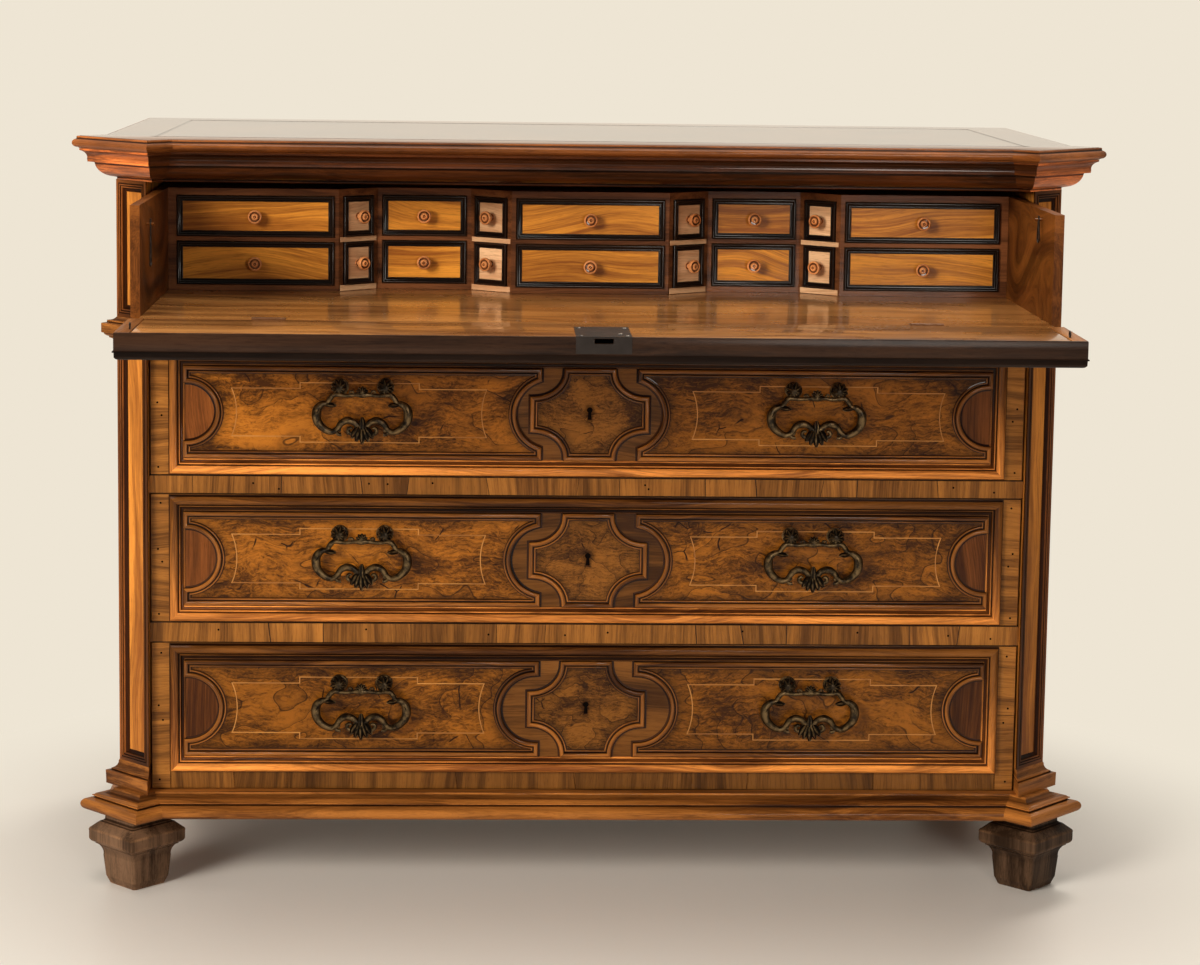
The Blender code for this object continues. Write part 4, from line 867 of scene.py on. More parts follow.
# Nest and fall
SMALL_FIELD_IN, SMALL_FIELD_UP, KNOB_WEAR = 0.0082, 0.0004, 0.0007
LIP, CLAMP, LIP_GAP, FALL_EDGE = 0.004, 0.021, 0.0002, 0.0005
FALL_EASE, LIP_EASE = 0.0022, 0.0012
EYE_X, EYE_IN, EYE_R, EYE_WIRE = 0.6085, 0.040, 0.0042, 0.0009
LOCK_SCREWS = ((-0.030, 0.010), (0.030, 0.010), (-0.030, 0.094), (0.030, 0.094), (0.022, 0.030))
LOCK_PROUD = 0.0004

# Studio: lamps as name, spot and width, all aimed at one point, and the camera's place and turns in radians
LAMPS = (("key", (-3.0, -3.5, 2.2), 1.9), ("fill", (0.9, -4.0, 1.3), 0.9), ("above", (-0.2, -0.8, 4.0), 2.2),
         ("behind", (1.6, 3.0, 4.4), 1.5))
LAMP_TARGET = (0.0, -0.1, 0.6)
CAMERA_SPOT = (-0.1547, -4.1784, 1.3078)
CAMERA_TURN, CAMERA_DIP, CAMERA_ROLL = -0.0408, 0.1209, 0.0139
SENSOR_MM = 36.0
FLOOR_RINGS, FLOOR_SIDES = (0.0, 0.6, 1.2, 2.4, 5.0, 30.0), 64
FLOOR_ROUGH, FADE_WIDTH = 0.45, 1.8


def panel_ends(reach, half):
    """Where a right panel's lunette has its centre, where its bite has, and the bite's half angle in radians."""
    lean = math.asin(min(1.0, (half - BITE_FLAT) / PANEL_BITE))
    return reach - FRAME_W - PANEL_GAP / 2, PANEL_IN - PANEL_BITE * math.cos(lean), lean


def panel_outline(reach, half, lunette):
    """Right burl panel: a rectangle bitten by a half disc at the frame and by a wider arc at the shield."""
    end_x, centre_x, lean = panel_ends(reach, half)
    inner = arc((centre_x, 0), PANEL_BITE, -math.degrees(lean), math.degrees(lean))
    outer = arc((end_x, 0), lunette, 90, 270)
    return np.concatenate((((PANEL_IN, -half),), inner, ((PANEL_IN, half), (end_x, half)), outer, ((end_x, -half),)))


def panel_face(stock, reach, half, lunette, height, matrix, mirror, edge_darkening):
    """Burl of a panel: at each height z, x runs from the bite's circle to the lunette's circle.

    The face is darker towards its nearest edge by the given edge-darkening stops, times the Gaussian of the distance
    to that edge. Its rim is let down into the board, and a flat back closes it.
    """
    end_x, centre_x = panel_ends(reach, half)[:2]
    bite, moon = np.radians(np.linspace(-90, 90, 41)), np.linspace(lunette, half, 6)[1:]
    z = np.concatenate((-moon[::-1], lunette * np.sin(bite), moon))[:, None]
    bitten = centre_x + np.sqrt(np.clip(PANEL_BITE**2 - z**2, 0, None))
    inner = np.where(np.abs(z) < half - BITE_FLAT, bitten, PANEL_IN)
    outer = end_x - np.sqrt(np.clip(lunette**2 - z**2, 0, None))
    share = 0.5 - 0.5 * np.cos(np.linspace(0, math.pi, 31))
    x = inner + (outer - inner) * share
    far = np.minimum(np.minimum(half - np.abs(z), np.hypot(x - centre_x, z) - PANEL_BITE),
                     np.hypot(x - end_x, z) - lunette)
    # Darker towards the nearest edge
    tone = -edge_darkening * np.exp(-(np.clip(far, 0, None) / EDGE_DARKENING_REACH) ** 2)
    face = standing(np.stack(np.broadcast_arrays(x * mirror, z), -1), height)
    rim = np.concatenate((face[0], face[1:, -1], face[-1, -2::-1], face[-2::-1, 0]))
    sunk = rim + (0, height + SINK, 0)
    shift = stock.shift()
    wall, back = np.stack((rim, sunk)), sunk[:-1]
    grains = [(points * (mirror, 1, 1))[..., FLAT] + shift for points in (face, wall, back)]
    stock.grid(moved(face, matrix), grains[0], tone=tone)
    stock.grid(moved(wall, matrix), grains[1], tone=-edge_darkening)
    stock.face(moved(back, matrix), grains[2])


def shield_outline(half):
    """Middle panel: a rectangle whose corners are cut away by quarter ovals."""
    hollow = (SHIELD_HALF - SHIELD_FLAT, half - SHIELD_SIDE)
    quarters = ((-1, -1, 0), (-1, 1, 270), (1, 1, 180), (1, -1, 90))
    return np.concatenate([arc((sx * SHIELD_HALF, sz * half), hollow, start, start + 90, 12)
                           for sx, sz, start in quarters])


def strap_outline(scale):
    """Stringing of a right panel: a long rectangle, taller round the handle, its ends bowed in."""
    low, high, (start, end) = STRAP_LOW * scale, STRAP_HIGH * scale, STRAP_STEP
    marks = ((STRAP_INNER, -low), (STRAP_INNER, low, STRAP_BOW), (start, low), (start, high), (end, high), (end, low),
             (STRAP_OUTER, low), (STRAP_OUTER, -low, STRAP_BOW), (end, -low), (end, -high), (start, -high),
             (start, -low))
    return traced(marks, 10, 1.0)


def keyhole_outline(up):
    """Clockwise keyhole: a round head over a slot that widens downwards."""
    head = arc((0, up + KEY_HEAD_UP), KEY_HEAD, -60, 240, 30)[::-1]
    return np.concatenate((head, ((KEY_FOOT, up - KEY_DROP), (-KEY_FOOT, up - KEY_DROP))))


def divided(outline, pieces):
    """Closed outline with each side divided into equal pieces."""
    share = np.linspace(0, 1, pieces, endpoint=False)[:, None]
    side = np.roll(outline, -1, 0) - outline
    return (outline[:, None] + side[:, None] * share).reshape(-1, 2)


def keyed_plate(stock, outline, height, up, matrix):
    """Shield with a keyhole: rays from the keyhole's edge to the shield's edge, with the walls of both."""
    s = bpy.context.scene.commode_sizes
    dense, fine = divided(keyhole_outline(up), 12), divided(outline, 5)
    bearing = np.arctan2(dense[:, 1] - up, dense[:, 0])
    angle = np.arctan2(fine[:, 1] - up, fine[:, 0])
    sort = np.argsort(bearing)
    reach = np.interp(angle, bearing[sort], np.hypot(dense[:, 0], dense[:, 1] - up)[sort], period=2 * math.pi)
    edge = np.stack((np.cos(angle) * reach, np.sin(angle) * reach + up), 1)
    rows = 8
    share = np.linspace(0, 1, rows)[:, None, None]
    flat = np.concatenate((edge[None], edge + (fine - edge) * share, fine[None], edge[None]))
    heights = np.array([-KEY_SINK, *[height] * rows, -KEY_SINK, -KEY_SINK])[:, None]
    local = closed(standing(flat, heights))
    stock.grid(moved(local, matrix), local[..., FLAT] + stock.shift(),
               np.array([-1.0, -0.6, *[0.0] * (rows + 1)])[:, None],
               tone=-s.edge_darkening * np.array([*[0.0] * (rows - 1), 0.3, 1.0, 1.0, 1.0])[:, None])


def ornament(body, reach, low, high, matrix, edging="moulding", painted_shades=(0.0, 0.0)):
    """Moulded frame, beads, burl panels, lunettes, shield and stringing of a body's front between two heights.

    The right and left panels are lighter by the stops given for each: painted shade where these are below zero.
    """
    s = bpy.context.scene.commode_sizes
    seed = sum(map(ord, body))
    half = (high - low) / 2 - FRAME_W
    panel_half, moon = half - PANEL_GAP, half - LUNETTE_GAP
    lift = matrix @ Matrix.Translation((0, 0, (low + high) / 2))
    edges, beads, burl, lunettes, string, plate, painted_keyhole_shade = (Stock(seed + i) for i in range(7))
    edges.moulding(rectangle(reach, low, high), shut(traced(FRAME_MARKS)), matrix, painted_top_shade=FRAME_PAINTED_SHADE)
    panel = panel_outline(reach, panel_half, moon)
    shield = shield_outline(half - SHIELD_GAP)
    bead = shut(traced(BEAD_MARKS))
    end_x, radius = panel_ends(reach, panel_half)[0], moon - LUNETTE_IN
    past = end_x + LUNETTE_END
    disc = np.concatenate((arc((end_x, 0), radius, 270, 90), ((past, radius), (past, -radius))))
    strap = strap_outline(half / STRAP_PANEL)
    rise = s.veneer_proud + STRING_RISE
    line = np.array(((-STRING_HALF, -STRING_SINK), (-STRING_HALF, rise), (STRING_HALF, rise),
                     (STRING_HALF, -STRING_SINK)))
    for sign, shade in zip((1, -1), painted_shades):
        turn = np.asarray if sign > 0 else flipped
        # Painted shade on the panel and its lunette
        burl.tone = lunettes.tone = shade
        beads.moulding(turn(panel), bead, lift, BEAD_PAINTED_FLANK_SHADE, BEAD_PAINTED_SHADE)
        panel_face(burl, reach, panel_half, moon, s.veneer_proud, lift, sign, s.edge_darkening)
        lunettes.plate(turn(disc[::-1]), s.veneer_proud, lift, order=TALL)
        string.moulding(turn(strap), shut(line), lift, 0.0)
    beads.moulding(shield, bead, lift, BEAD_PAINTED_FLANK_SHADE, BEAD_PAINTED_SHADE)
    keyed_plate(plate, pushed_in(shield, PLATE_IN)[0], s.veneer_proud, KEYHOLE_UP, lift)
    # Painted shade: a near-black sheet inside the keyhole stands for the dark within it
    painted_keyhole_shade.plate(pushed_in(keyhole_outline(KEYHOLE_UP), -KEY_LAP)[0], KEY_RISE, lift, edge=KEY_EDGE, sunk=KEY_LAP)
    for part, stock, look in (("frame", edges, edging), ("beads", beads, "bead"), ("burl", burl, "burl"),
                              ("lunettes", lunettes, "lunette"), ("stringing", string, "string"),
                              ("shield", plate, "shield"), ("keyhole", painted_keyhole_shade, "pin")):
        piece(f"{body}_{part}", stock, finish(look), body)


def veneer_row(stock, x0, x1, z0, z1, pieces, matrix, tone=0.0):
    """Row of upright veneers between two heights, parted at uneven places by leaning cracks."""
    s = bpy.context.scene.commode_sizes
    widths = stock.rng.uniform(*VENEER_WIDTHS, pieces)
    cuts = x0 + (x1 - x0) * np.cumsum(widths / widths.sum())[:-1]
    ends = np.array((x0, *cuts, x1))
    lean, wide = np.zeros(pieces + 1), np.zeros(pieces + 1)
    lean[1:-1] = stock.rng.uniform(*CRACK_LEAN, len(cuts)) * s.crack
    wide[1:-1] = stock.rng.uniform(*CRACK_WIDTH, len(cuts)) * s.crack
    for i, (start, stop) in enumerate(zip(ends, ends[1:])):
        proud = s.veneer_proud * stock.rng.uniform(*VENEER_RISE)
        left, right = start + wide[i] / 2, stop - wide[i + 1] / 2
        outline = np.array(((left, z0), (left + lean[i], z1), (right + lean[i + 1], z1), (right, z0)))
        stock.tone = tone + stock.rng.uniform(*VENEER_TONES)
        stock.plate(outline, proud, matrix, order=TALL)
    stock.tone = 0.0


def pinned(stock, spots, matrix):
    """Heads of pins at (x, z) spots, level with the proudest veneer."""
    height = bpy.context.scene.commode_sizes.veneer_proud * VENEER_RISE[1]
    for x, z in spots:
        stock.turned(np.array(PIN_MARKS), matrix @ Matrix.Translation((x, -height, z)) @ UPRIGHT, 8)


def aimed(spot, target):
    """Matrix at a spot whose -Z looks at a target."""
    ahead = np.asarray(target) - np.asarray(spot)
    back = -ahead / np.linalg.norm(ahead)
    right = np.cross((0, 0, 1), back)
    right = right / np.linalg.norm(right)
    turn = np.stack((right, np.cross(back, right), back), 1)
    return Matrix.Translation(spot) @ Matrix(turn.tolist()).to_4x4()


def camera_sees(tree):
    """Light Path's outputs, and a mask of what the camera sees straight or through something clear."""
    rays = node(tree, "LightPath").outputs
    return rays, sums(tree, "MAXIMUM", rays["Is Camera Ray"], rays["Is Transmission Ray"])


class COMMODE_OT_stage(bpy.types.Operator):
    """Pale floor, soft studio light and the camera"""

    bl_idname = "commode.stage"
    bl_label = "Stage"

    def air(self, scene, s, c):
        """Even light from all round, and the backdrop for the camera and for what polish mirrors."""
        scene.world = bpy.data.worlds.new("Studio")
        scene.world.use_nodes = True
        tree = scene.world.node_tree
        light = tree.nodes["Background"]
        light.inputs["Color"].default_value = rgba(c.air)
        light.inputs["Strength"].default_value = s.air
        rays, seen = camera_sees(tree)
        ahead = node(tree, "SeparateXYZ", {0: node(tree, "TexCoord").outputs["Generated"]}).outputs
        shine = span(tree, ahead["Y"], -0.3, 0.4, s.front_shine, 1.0)
        backdrop = node(tree, "Background", {"Color": rgba(c.backdrop), "Strength": 1.0})
        mirrored = node(tree, "Background", {"Color": rgba(c.backdrop), "Strength": shine})
        mixed = node(tree, "MixShader", {0: rays["Is Glossy Ray"], 1: light.outputs[0], 2: mirrored.outputs[0]})
        mixed = node(tree, "MixShader", {0: seen, 1: mixed.outputs[0], 2: backdrop.outputs[0]})
        tree.links.new(mixed.outputs[0], tree.nodes["World Output"].inputs["Surface"])

    def floor(self, scene, s, c):
        """Disc of rings round the origin, whose finish fades into the backdrop with the distance from there."""
        made, tree, shader = new_finish("Pale floor")
        place = node(tree, "TexCoord").outputs["Object"]
        mottle = noise(tree, scaled(tree, place, (3, 3, 3)), 3.0)
        tint = blend(tree, span(tree, mottle, 0.3, 0.7, 0.0, 0.06), rgba(c.floor), rgba(c.backdrop))
        tree.links.new(tint, shader.inputs["Base Color"])
        shader.inputs["Roughness"].default_value = FLOOR_ROUGH
        distance = node(tree, "VectorMath", {0: place}, operation="LENGTH").outputs["Value"]
        fade = span(tree, distance, s.floor_fade, s.floor_fade * FADE_WIDTH)
        far = sums(tree, "MULTIPLY", fade, camera_sees(tree)[1])
        glow = node(tree, "Emission", {"Color": rgba(c.backdrop), "Strength": 1.0})
        mixed = node(tree, "MixShader", {0: far, 1: shader.outputs[0], 2: glow.outputs[0]})
        tree.links.new(mixed.outputs[0], tree.nodes["Material Output"].inputs["Surface"])
        angle = np.linspace(0, 2 * math.pi, FLOOR_SIDES + 1)
        x, y = np.outer(FLOOR_RINGS, np.cos(angle)), np.outer(FLOOR_RINGS, np.sin(angle))
        rows = np.arange(x.size).reshape(x.shape)
        faces = np.stack((rows[:-1, :-1], rows[1:, :-1], rows[1:, 1:], rows[:-1, 1:]), -1).reshape(-1, 4)
        mesh = bpy.data.meshes.new("floor")
        mesh.from_pydata(np.stack((x, y, 0 * x), -1).reshape(-1, 3).tolist(), [], faces.tolist())
        mesh.materials.append(made)
        floor = bpy.data.objects.new("floor", mesh)
        scene.collection.objects.link(floor)

    def lamps(self, scene, s, c):
        """Round soft lamps; polish doesn't mirror the key."""
        for name, spot, size in LAMPS:
            lamp = bpy.data.lights.new(name, "AREA")
            lamp.shape, lamp.size, lamp.energy, lamp.color = "DISK", size, getattr(s, name), c.lamp
            obj = bpy.data.objects.new(name, lamp)
            obj.matrix_world = aimed(spot, LAMP_TARGET)
            obj.visible_glossy = name != "key"
            scene.collection.objects.link(obj)

    def camera(self, scene, s):
        """Camera of the main view."""
        camera = bpy.data.cameras.new("camera")
        camera.lens, camera.sensor_width, camera.shift_y = s.lens * 1000, SENSOR_MM, s.shift
        obj = bpy.data.objects.new("camera", camera)
        look = Matrix.Rotation(CAMERA_TURN, 4, "Z") @ Matrix.Rotation(math.pi / 2 - CAMERA_DIP, 4, "X")
        obj.matrix_world = Matrix.Translation(CAMERA_SPOT) @ look @ Matrix.Rotation(CAMERA_ROLL, 4, "Z")
        scene.collection.objects.link(obj)
        scene.camera = obj

    def execute(self, context):
        scene, s, c = context.scene, context.scene.commode_sizes, context.scene.commode_colours
        scene.view_settings.view_transform = "Standard"
        self.air(scene, s, c)
        self.floor(scene, s, c)
        self.lamps(scene, s, c)
        self.camera(scene, s)
        return {"FINISHED"}


def inset_back(rings, offset):
    """Rings whose back edge is drawn in as their other edges are."""
    back = rings[..., 1] > CASE_DEPTH + FRONT_Y - SLACK
    rings[..., 1] += np.where(back, (offset - BACK_EDGE)[:, None], 0.0)
    return rings


class COMMODE_OT_top(bpy.types.Operator):
    """Top board: its rounded edge, veneer, inlaid border lines and burl field"""

    bl_idname = "commode.top"
    bl_label = "Top"

    def execute(self, context):
        s = context.scene.commode_sizes
        marks = traced(NOSE_MARKS) + (0, TOP_Z)
        edge, veneer, line, field = (Stock(seed) for seed in (4, 5, 6, 7))
        # The top's edge gets painted light on its cants
        edge.skin(plan_rings(marks, **CORNICE_PLAN), marks, caps=True, outside=-1, cant_painted_light=s.cant_painted_light)
        piece("top_edge", edge, finish("nose"), "case", ("top_board",))
        sheet = np.array(SHEET_MARKS) + (0, HEIGHT)
        veneer.skin(plan_rings(sheet, **CORNICE_PLAN), sheet, order=PLAIN, caps=True)
        piece("top_surface", veneer, finish("top"), "case")
        line.tone = BORDER_TONE
        for inset in BORDER_INSETS:
            strip = shut(np.array(BORDER_MARKS) + (inset, HEIGHT))
            line.skin(inset_back(plan_rings(strip, **CORNICE_PLAN), strip[:, 0]), strip)
        piece("top_border", line, finish("top"), "case")
        sheet = np.array(FIELD_MARKS) + (0, HEIGHT)
        field.skin(inset_back(plan_rings(sheet, **CORNICE_PLAN), sheet[:, 0]), sheet, order=PLAIN, caps=True)
        piece("top_field", field, finish("top_burl"), "case")
        return {"FINISHED"}


class COMMODE_OT_cornice(bpy.types.Operator):
    """Cornice moulding under the top"""

    bl_idname = "commode.cornice"
    bl_label = "Cornice"

    def execute(self, context):
        s = context.scene.commode_sizes
        marks = traced(CORNICE_MARKS, 9) + (0, CORNICE_Z)
        stock = Stock(11)
        rings = plan_rings(marks, **CORNICE_PLAN, inner=(INNER_HALF, CORNICE_IN, *CORNICE_NOTCH))
        # The cornice's cants get painted light over its dark colours, which are painted shade
        stock.skin(rings, marks, caps=True, outside=-1, cant_painted_light=s.cant_painted_light * CORNICE_CANT_LIGHT)
        piece("cornice", stock, finish("cornice"), "case", ("cornice_moulding",))
        return {"FINISHED"}


def foot_rings(profile, rounding):
    """Square rings of a foot: half width and height from the profile, corners of a radius up to rounding.

    A ring's point is a corner of the square that the radius leaves, plus the radius at one of seven angles of
    that corner's quarter circle.
    """
    round_r = np.minimum(rounding, profile[:, :1] * 0.3)
    angle = np.radians(np.arange(4)[:, None] * 90 + np.linspace(0, 90, 7)).ravel()
    quarter = np.arange(4).repeat(7) * math.pi / 2 + math.pi / 4
    arm = (profile[:, :1] - round_r) * ROOT2
    x = arm * np.cos(quarter) + round_r * np.cos(angle)
    y = arm * np.sin(quarter) + round_r * np.sin(angle)
    return np.stack((x, y, np.broadcast_to(profile[:, 1:], x.shape)), -1)


class COMMODE_OT_base(bpy.types.Operator):
    """Base moulding and the four square feet"""

    bl_idname = "commode.base"
    bl_label = "Base and feet"

    def execute(self, context):
        s = context.scene.commode_sizes
        marks = traced(BASE_MARKS, 10) + (0, FOOT_H)
        stock = Stock(12)
        rings = plan_rings(marks, **BASE_PLAN, inner=(INNER_HALF - BASE_LAP, RAIL_T))
        stock.skin(rings, marks, caps=True, outside=-1)
        piece("base", stock, finish("moulding"), "case", ("base_moulding",))
        profile = traced(FOOT_MARKS, 8)
        rings = foot_rings(profile, s.foot_round)
        for row, bearing in (("front", math.pi / 4), ("back", 0.0)):
            for side, sign in SIDES:
                low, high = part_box(f"foot_{row}_{side}")
                middle = (low + high) / 2
                turn = Matrix.Translation((middle.x, middle.y, 0)) @ Matrix.Rotation(bearing, 4, "Z")
                foot = Stock(20 + sign)
                # Painted shade: the right feet are darker, as the lamp at the left leaves them in shade
                foot.tone = -s.foot_painted_shade * (sign > 0)
                foot.skin(moved(rings, turn), profile, order=TALL, corner=60.0, outside=-1)
                piece(f"foot_{row}_{side}_turned", foot, finish("foot"), "case",
                      (f"foot_{row}_{side}",))
        return {"FINISHED"}


class COMMODE_OT_case(bpy.types.Operator):
    """Side panels, back boards and the boards inside the case"""

    bl_idname = "commode.case"
    bl_label = "Case"

    def execute(self, context):
        s = context.scene.commode_sizes
        for side, sign in SIDES:
            low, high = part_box(f"side_panel_{side}")
            inner, outer = sorted((sign * INNER_HALF, sign * CASE_HALF))
            board = Stock(30 + sign)
            board.board((inner, low.y, low.z), (outer, high.y, high.z), (2, 1, 0))
            piece(f"side_board_{side}", board, finish("case"), "case", (f"side_panel_{side}",))
            middle = (low.y + high.y) / 2
            reach = (high.y - low.y) / 2 - SIDE_FRAME_IN
            turn = Matrix.Translation((sign * CASE_HALF, middle, 0)) @ Matrix.Rotation(sign * math.pi / 2, 4, "Z")
            moulding = Stock(40 + sign)
            z0, z1 = low.z + SIDE_FRAME_IN, high.z - SIDE_FRAME_IN
            moulding.moulding(rectangle(reach, z0, z1), shut(traced(FRAME_MARKS)), turn)
            piece(f"side_frame_{side}", moulding, finish("moulding"), "case")
            field = Stock(44)
            inside = FRAME_W - FIELD_LAP
            for x0, x1 in ((-reach + inside, -s.crack / 2), (s.crack / 2, reach - inside)):
                field.rng = np.random.default_rng(44)
                field.plate(oblong(x0, x1, z0 + inside, z1 - inside), s.veneer_proud, turn, order=TALL,
                            mirror=-1 if x0 < 0 else 1)
            piece(f"side_field_{side}", field, finish("ground"), "case")
        low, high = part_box("back_panel")
        boards = Stock(50)
        joint = high.y - s.veneer_proud * BOARD_PROUD
        boards.board(low, (high.x, joint, high.z), TALL)
        ends = np.linspace(low.x, high.x, BACK_BOARDS + 1)
        for x0, x1 in zip(ends, ends[1:]):
            boards.board((x0 + s.crack, joint - BOARD_LAP, low.z), (x1 - s.crack, high.y, high.z), TALL)
        piece("back_boards", boards, finish("back"), "case", ("back_panel",))
        dress_node("bottom_board", finish("under"))
        return {"FINISHED"}


def post_rings(profile, out, sign):
    """Rings of a corner post: at each height, the inner corner, the tip of the cant, the side and the inside.

    The cant stands out by out, and runs along itself as far as the shaft's end plus the profile's offset.
    """
    t, n = np.broadcast_arrays(SHAFT_END_T + profile[:, 0], SHAFT_N + out)
    tip_x, tip_y = corner(t, n)
    flat, back = np.full_like(t, INNER_HALF), np.full_like(t, POST_BACK)
    x = np.stack((flat, tip_x, CASE_HALF + ROOT2 * t - POST_BACK, flat), 1) * sign
    y = np.stack((-PANEL_T - ROOT2 * n, tip_y, back, back), 1) + FRONT_Y
    return np.stack((x, y, np.broadcast_to(profile[:, 1:], x.shape)), -1)


class COMMODE_OT_pilasters(bpy.types.Operator):
    """Canted corner posts with moulded sills and sunk panels"""

    bl_idname = "commode.pilasters"
    bl_label = "Corner posts"

    def execute(self, context):
        s = context.scene.commode_sizes
        foot = BASE_TOP + GAP
        sill, waist = traced(SILL_MARKS) + (0, foot), traced(WAIST_MARKS) + (0, WAIST)
        shafts = ((foot + SILL_MARKS[-1][1], WAIST + WAIST_MARKS[0][1]), (WAIST, CORNICE_Z - GAP))
        profile = shut(traced(PILASTER_MARKS)) + (0, SHAFT_N)
        for side, sign in SIDES:
            stock, steps = Stock(60 + sign), Stock(64 + sign)
            for moulded, shaft in zip((sill, waist), shafts):
                steps.skin(post_rings(moulded, moulded[:, 0], sign), moulded, caps=True, outside=-1)
                plain = np.array([(0.0, z) for z in shaft])
                stock.skin(post_rings(plain, POST_SUNK, sign), plain, order=TALL, caps=True, outside=-1)
            piece(f"post_mouldings_{side}", steps, finish("moulding"), "case")
            piece(f"post_{side}", stock, finish("case"), "case", (f"pilaster_{side}",))
            place = Matrix.Translation((CASE_HALF, FRONT_Y, 0)) @ Matrix.Rotation(math.pi / 4, 4, "Z")
            turn = Matrix.Diagonal((sign, 1, 1, 1)) @ place
            frames, panels = Stock(70 + sign), Stock(80 + sign)
            for low, high in shafts:
                outline = oblong(POST_PLAY - ROOT2 * PANEL_T - SHAFT_N, SHAFT_END_T, low, high)
                # Painted shade: each frame's upright towards the drawers is darker, standing for the shade in the gap
                # beside them
                frames.moulding(outline, profile, turn, inner=s.post_painted_shade)
                frames.drawn_out(sign, INNER_HALF)
                inside = pushed_in(outline, POST_PANEL_IN)[0]
                panels.plate(inside, SHAFT_N + POST_PANEL, turn, order=TALL, sunk=POST_FLOOR - SHAFT_N)
            piece(f"post_frames_{side}", frames, finish("post"), "case")
            piece(f"post_panels_{side}", panels, finish("case"), "case")
        return {"FINISHED"}


class COMMODE_OT_rails(bpy.types.Operator):
    """Crossbanded veneers on the rails between the drawers"""

    bl_idname = "commode.rails"
    bl_label = "Rails"

    def execute(self, context):
        turn = Matrix.Translation((0, FRONT_Y, 0))
        for number, name in enumerate(("upper", "middle", "lower")):
            low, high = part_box(f"rail_{name}")
            dress_node(f"rail_{name}", finish("rail"))
            stock, pins = Stock(90 + number), Stock(95 + number)
            veneer_row(stock, low.x, high.x, low.z + RAIL_PLAY, high.z - RAIL_PLAY, RAIL_VENEERS[number], turn)
            piece(f"rail_{name}_veneer", stock, finish("band"), "case")
            x = stock.rng.uniform(-PIN_SPREAD, PIN_SPREAD, RAIL_PINS)
            z = (low.z + high.z) / 2 + stock.rng.uniform(-PIN_STRAY, PIN_STRAY, RAIL_PINS)
            pinned(pins, np.stack((x, z), 1), turn)
            piece(f"rail_{name}_pins", pins, finish("pin"), "case")
        return {"FINISHED"}


class COMMODE_OT_drawers(bpy.types.Operator):
    """Fronts of the three long drawers, their linings and bolts"""

    bl_idname = "commode.drawers"
    bl_label = "Long drawers"

    def execute(self, context):
        s = context.scene.commode_sizes
        turn = Matrix.Translation((0, FRONT_Y, 0))
        reach, pin_x = DRAWER_HALF - STRIP, DRAWER_HALF - STRIP / 2
        for number, (band, painted_shades) in enumerate(zip(BAND, PANEL_PAINTED_SHADES), 1):
            name = f"drawer_{number}"
            low, high = (end.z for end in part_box(f"{name}_front"))
            tall, frame_low = high - low, low + band + FRAME_EDGE
            board, strips, pins = (Stock(seed + number) for seed in (100, 110, 115))
            bolt = [np.asarray(end) + away for end, away in zip(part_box(f"{name}_bolt"), (-BOLT_ROOM, BOLT_ROOM))]
            board.board((-DRAWER_HALF, FRONT_Y, low), (DRAWER_HALF, FRONT_Y + FRONT_T, high), FLAT, slot=bolt)
            piece(f"{name}_board", board, finish("ground"), name, (f"{name}_front",))
            ornament(name, reach, frame_low, high - FRAME_EDGE, turn, painted_shades=painted_shades)
            joint = low + tall * STRIP_CUT
            for sign in (-1, 1):
                x0, x1 = sorted((sign * (reach + STRIP_GAP), sign * DRAWER_HALF))
                for z0, z1 in ((low + STRIP_PLAY, joint), (joint + s.crack, high - STRIP_PLAY)):
                    strips.plate(oblong(x0, x1, z0, z1), s.veneer_proud, turn)
            if band:
                veneer_row(strips, -reach, reach, low + STRIP_PLAY, frame_low - BAND_GAP, BAND_VENEERS, turn, BAND_TONE)
            piece(f"{name}_crossbanding", strips, finish("band"), name)
            pinned(pins, [(sign * (pin_x + out), low + tall * share) for sign in (-1, 1) for share, out in STRIP_PINS],
                   turn)
            piece(f"{name}_pins", pins, finish("pin"), name)
            dress_node(f"{name}_box", finish("lining"))
            dress_node(f"{name}_bolt", finish("iron"))
        return {"FINISHED"}


def leaf_at(stock, spot, x, z, degrees, length, width, thick, out, flutes=2):
    """Pointed leaf from a root, turned in the plane of the front: 0 degrees hangs down, 90 points to the left."""
    turn = Matrix.Translation(spot + (x, -out, z)) @ Matrix.Rotation(math.radians(degrees), 4, "Y")
    stock.leaf(length, np.array(LEAF_SHAPE) * width, thick, flutes, LEAF_CURL, turn)


def spiral(stock, spot, hand, x, z, share, turn, way, thick):
    """Tapering scroll round (x, z), whose radius falls off exponentially with the angle.

    At angle a from the start it is share times SCROLL_R times e to the power of -SCROLL_FALL a.
    """
    angle = np.linspace(*np.radians(SCROLL_TURN), SCROLL_STEPS)
    reach = share * (SCROLL_R * np.exp(-SCROLL_FALL * (angle - angle[0])))
    bearing = way * (angle + turn)
    path = np.stack((hand * (x + reach * np.cos(bearing)), 0 * angle, z + reach * np.sin(bearing)), 1)
    stock.tube(path + spot, np.linspace(*thick, SCROLL_STEPS), looped=False)


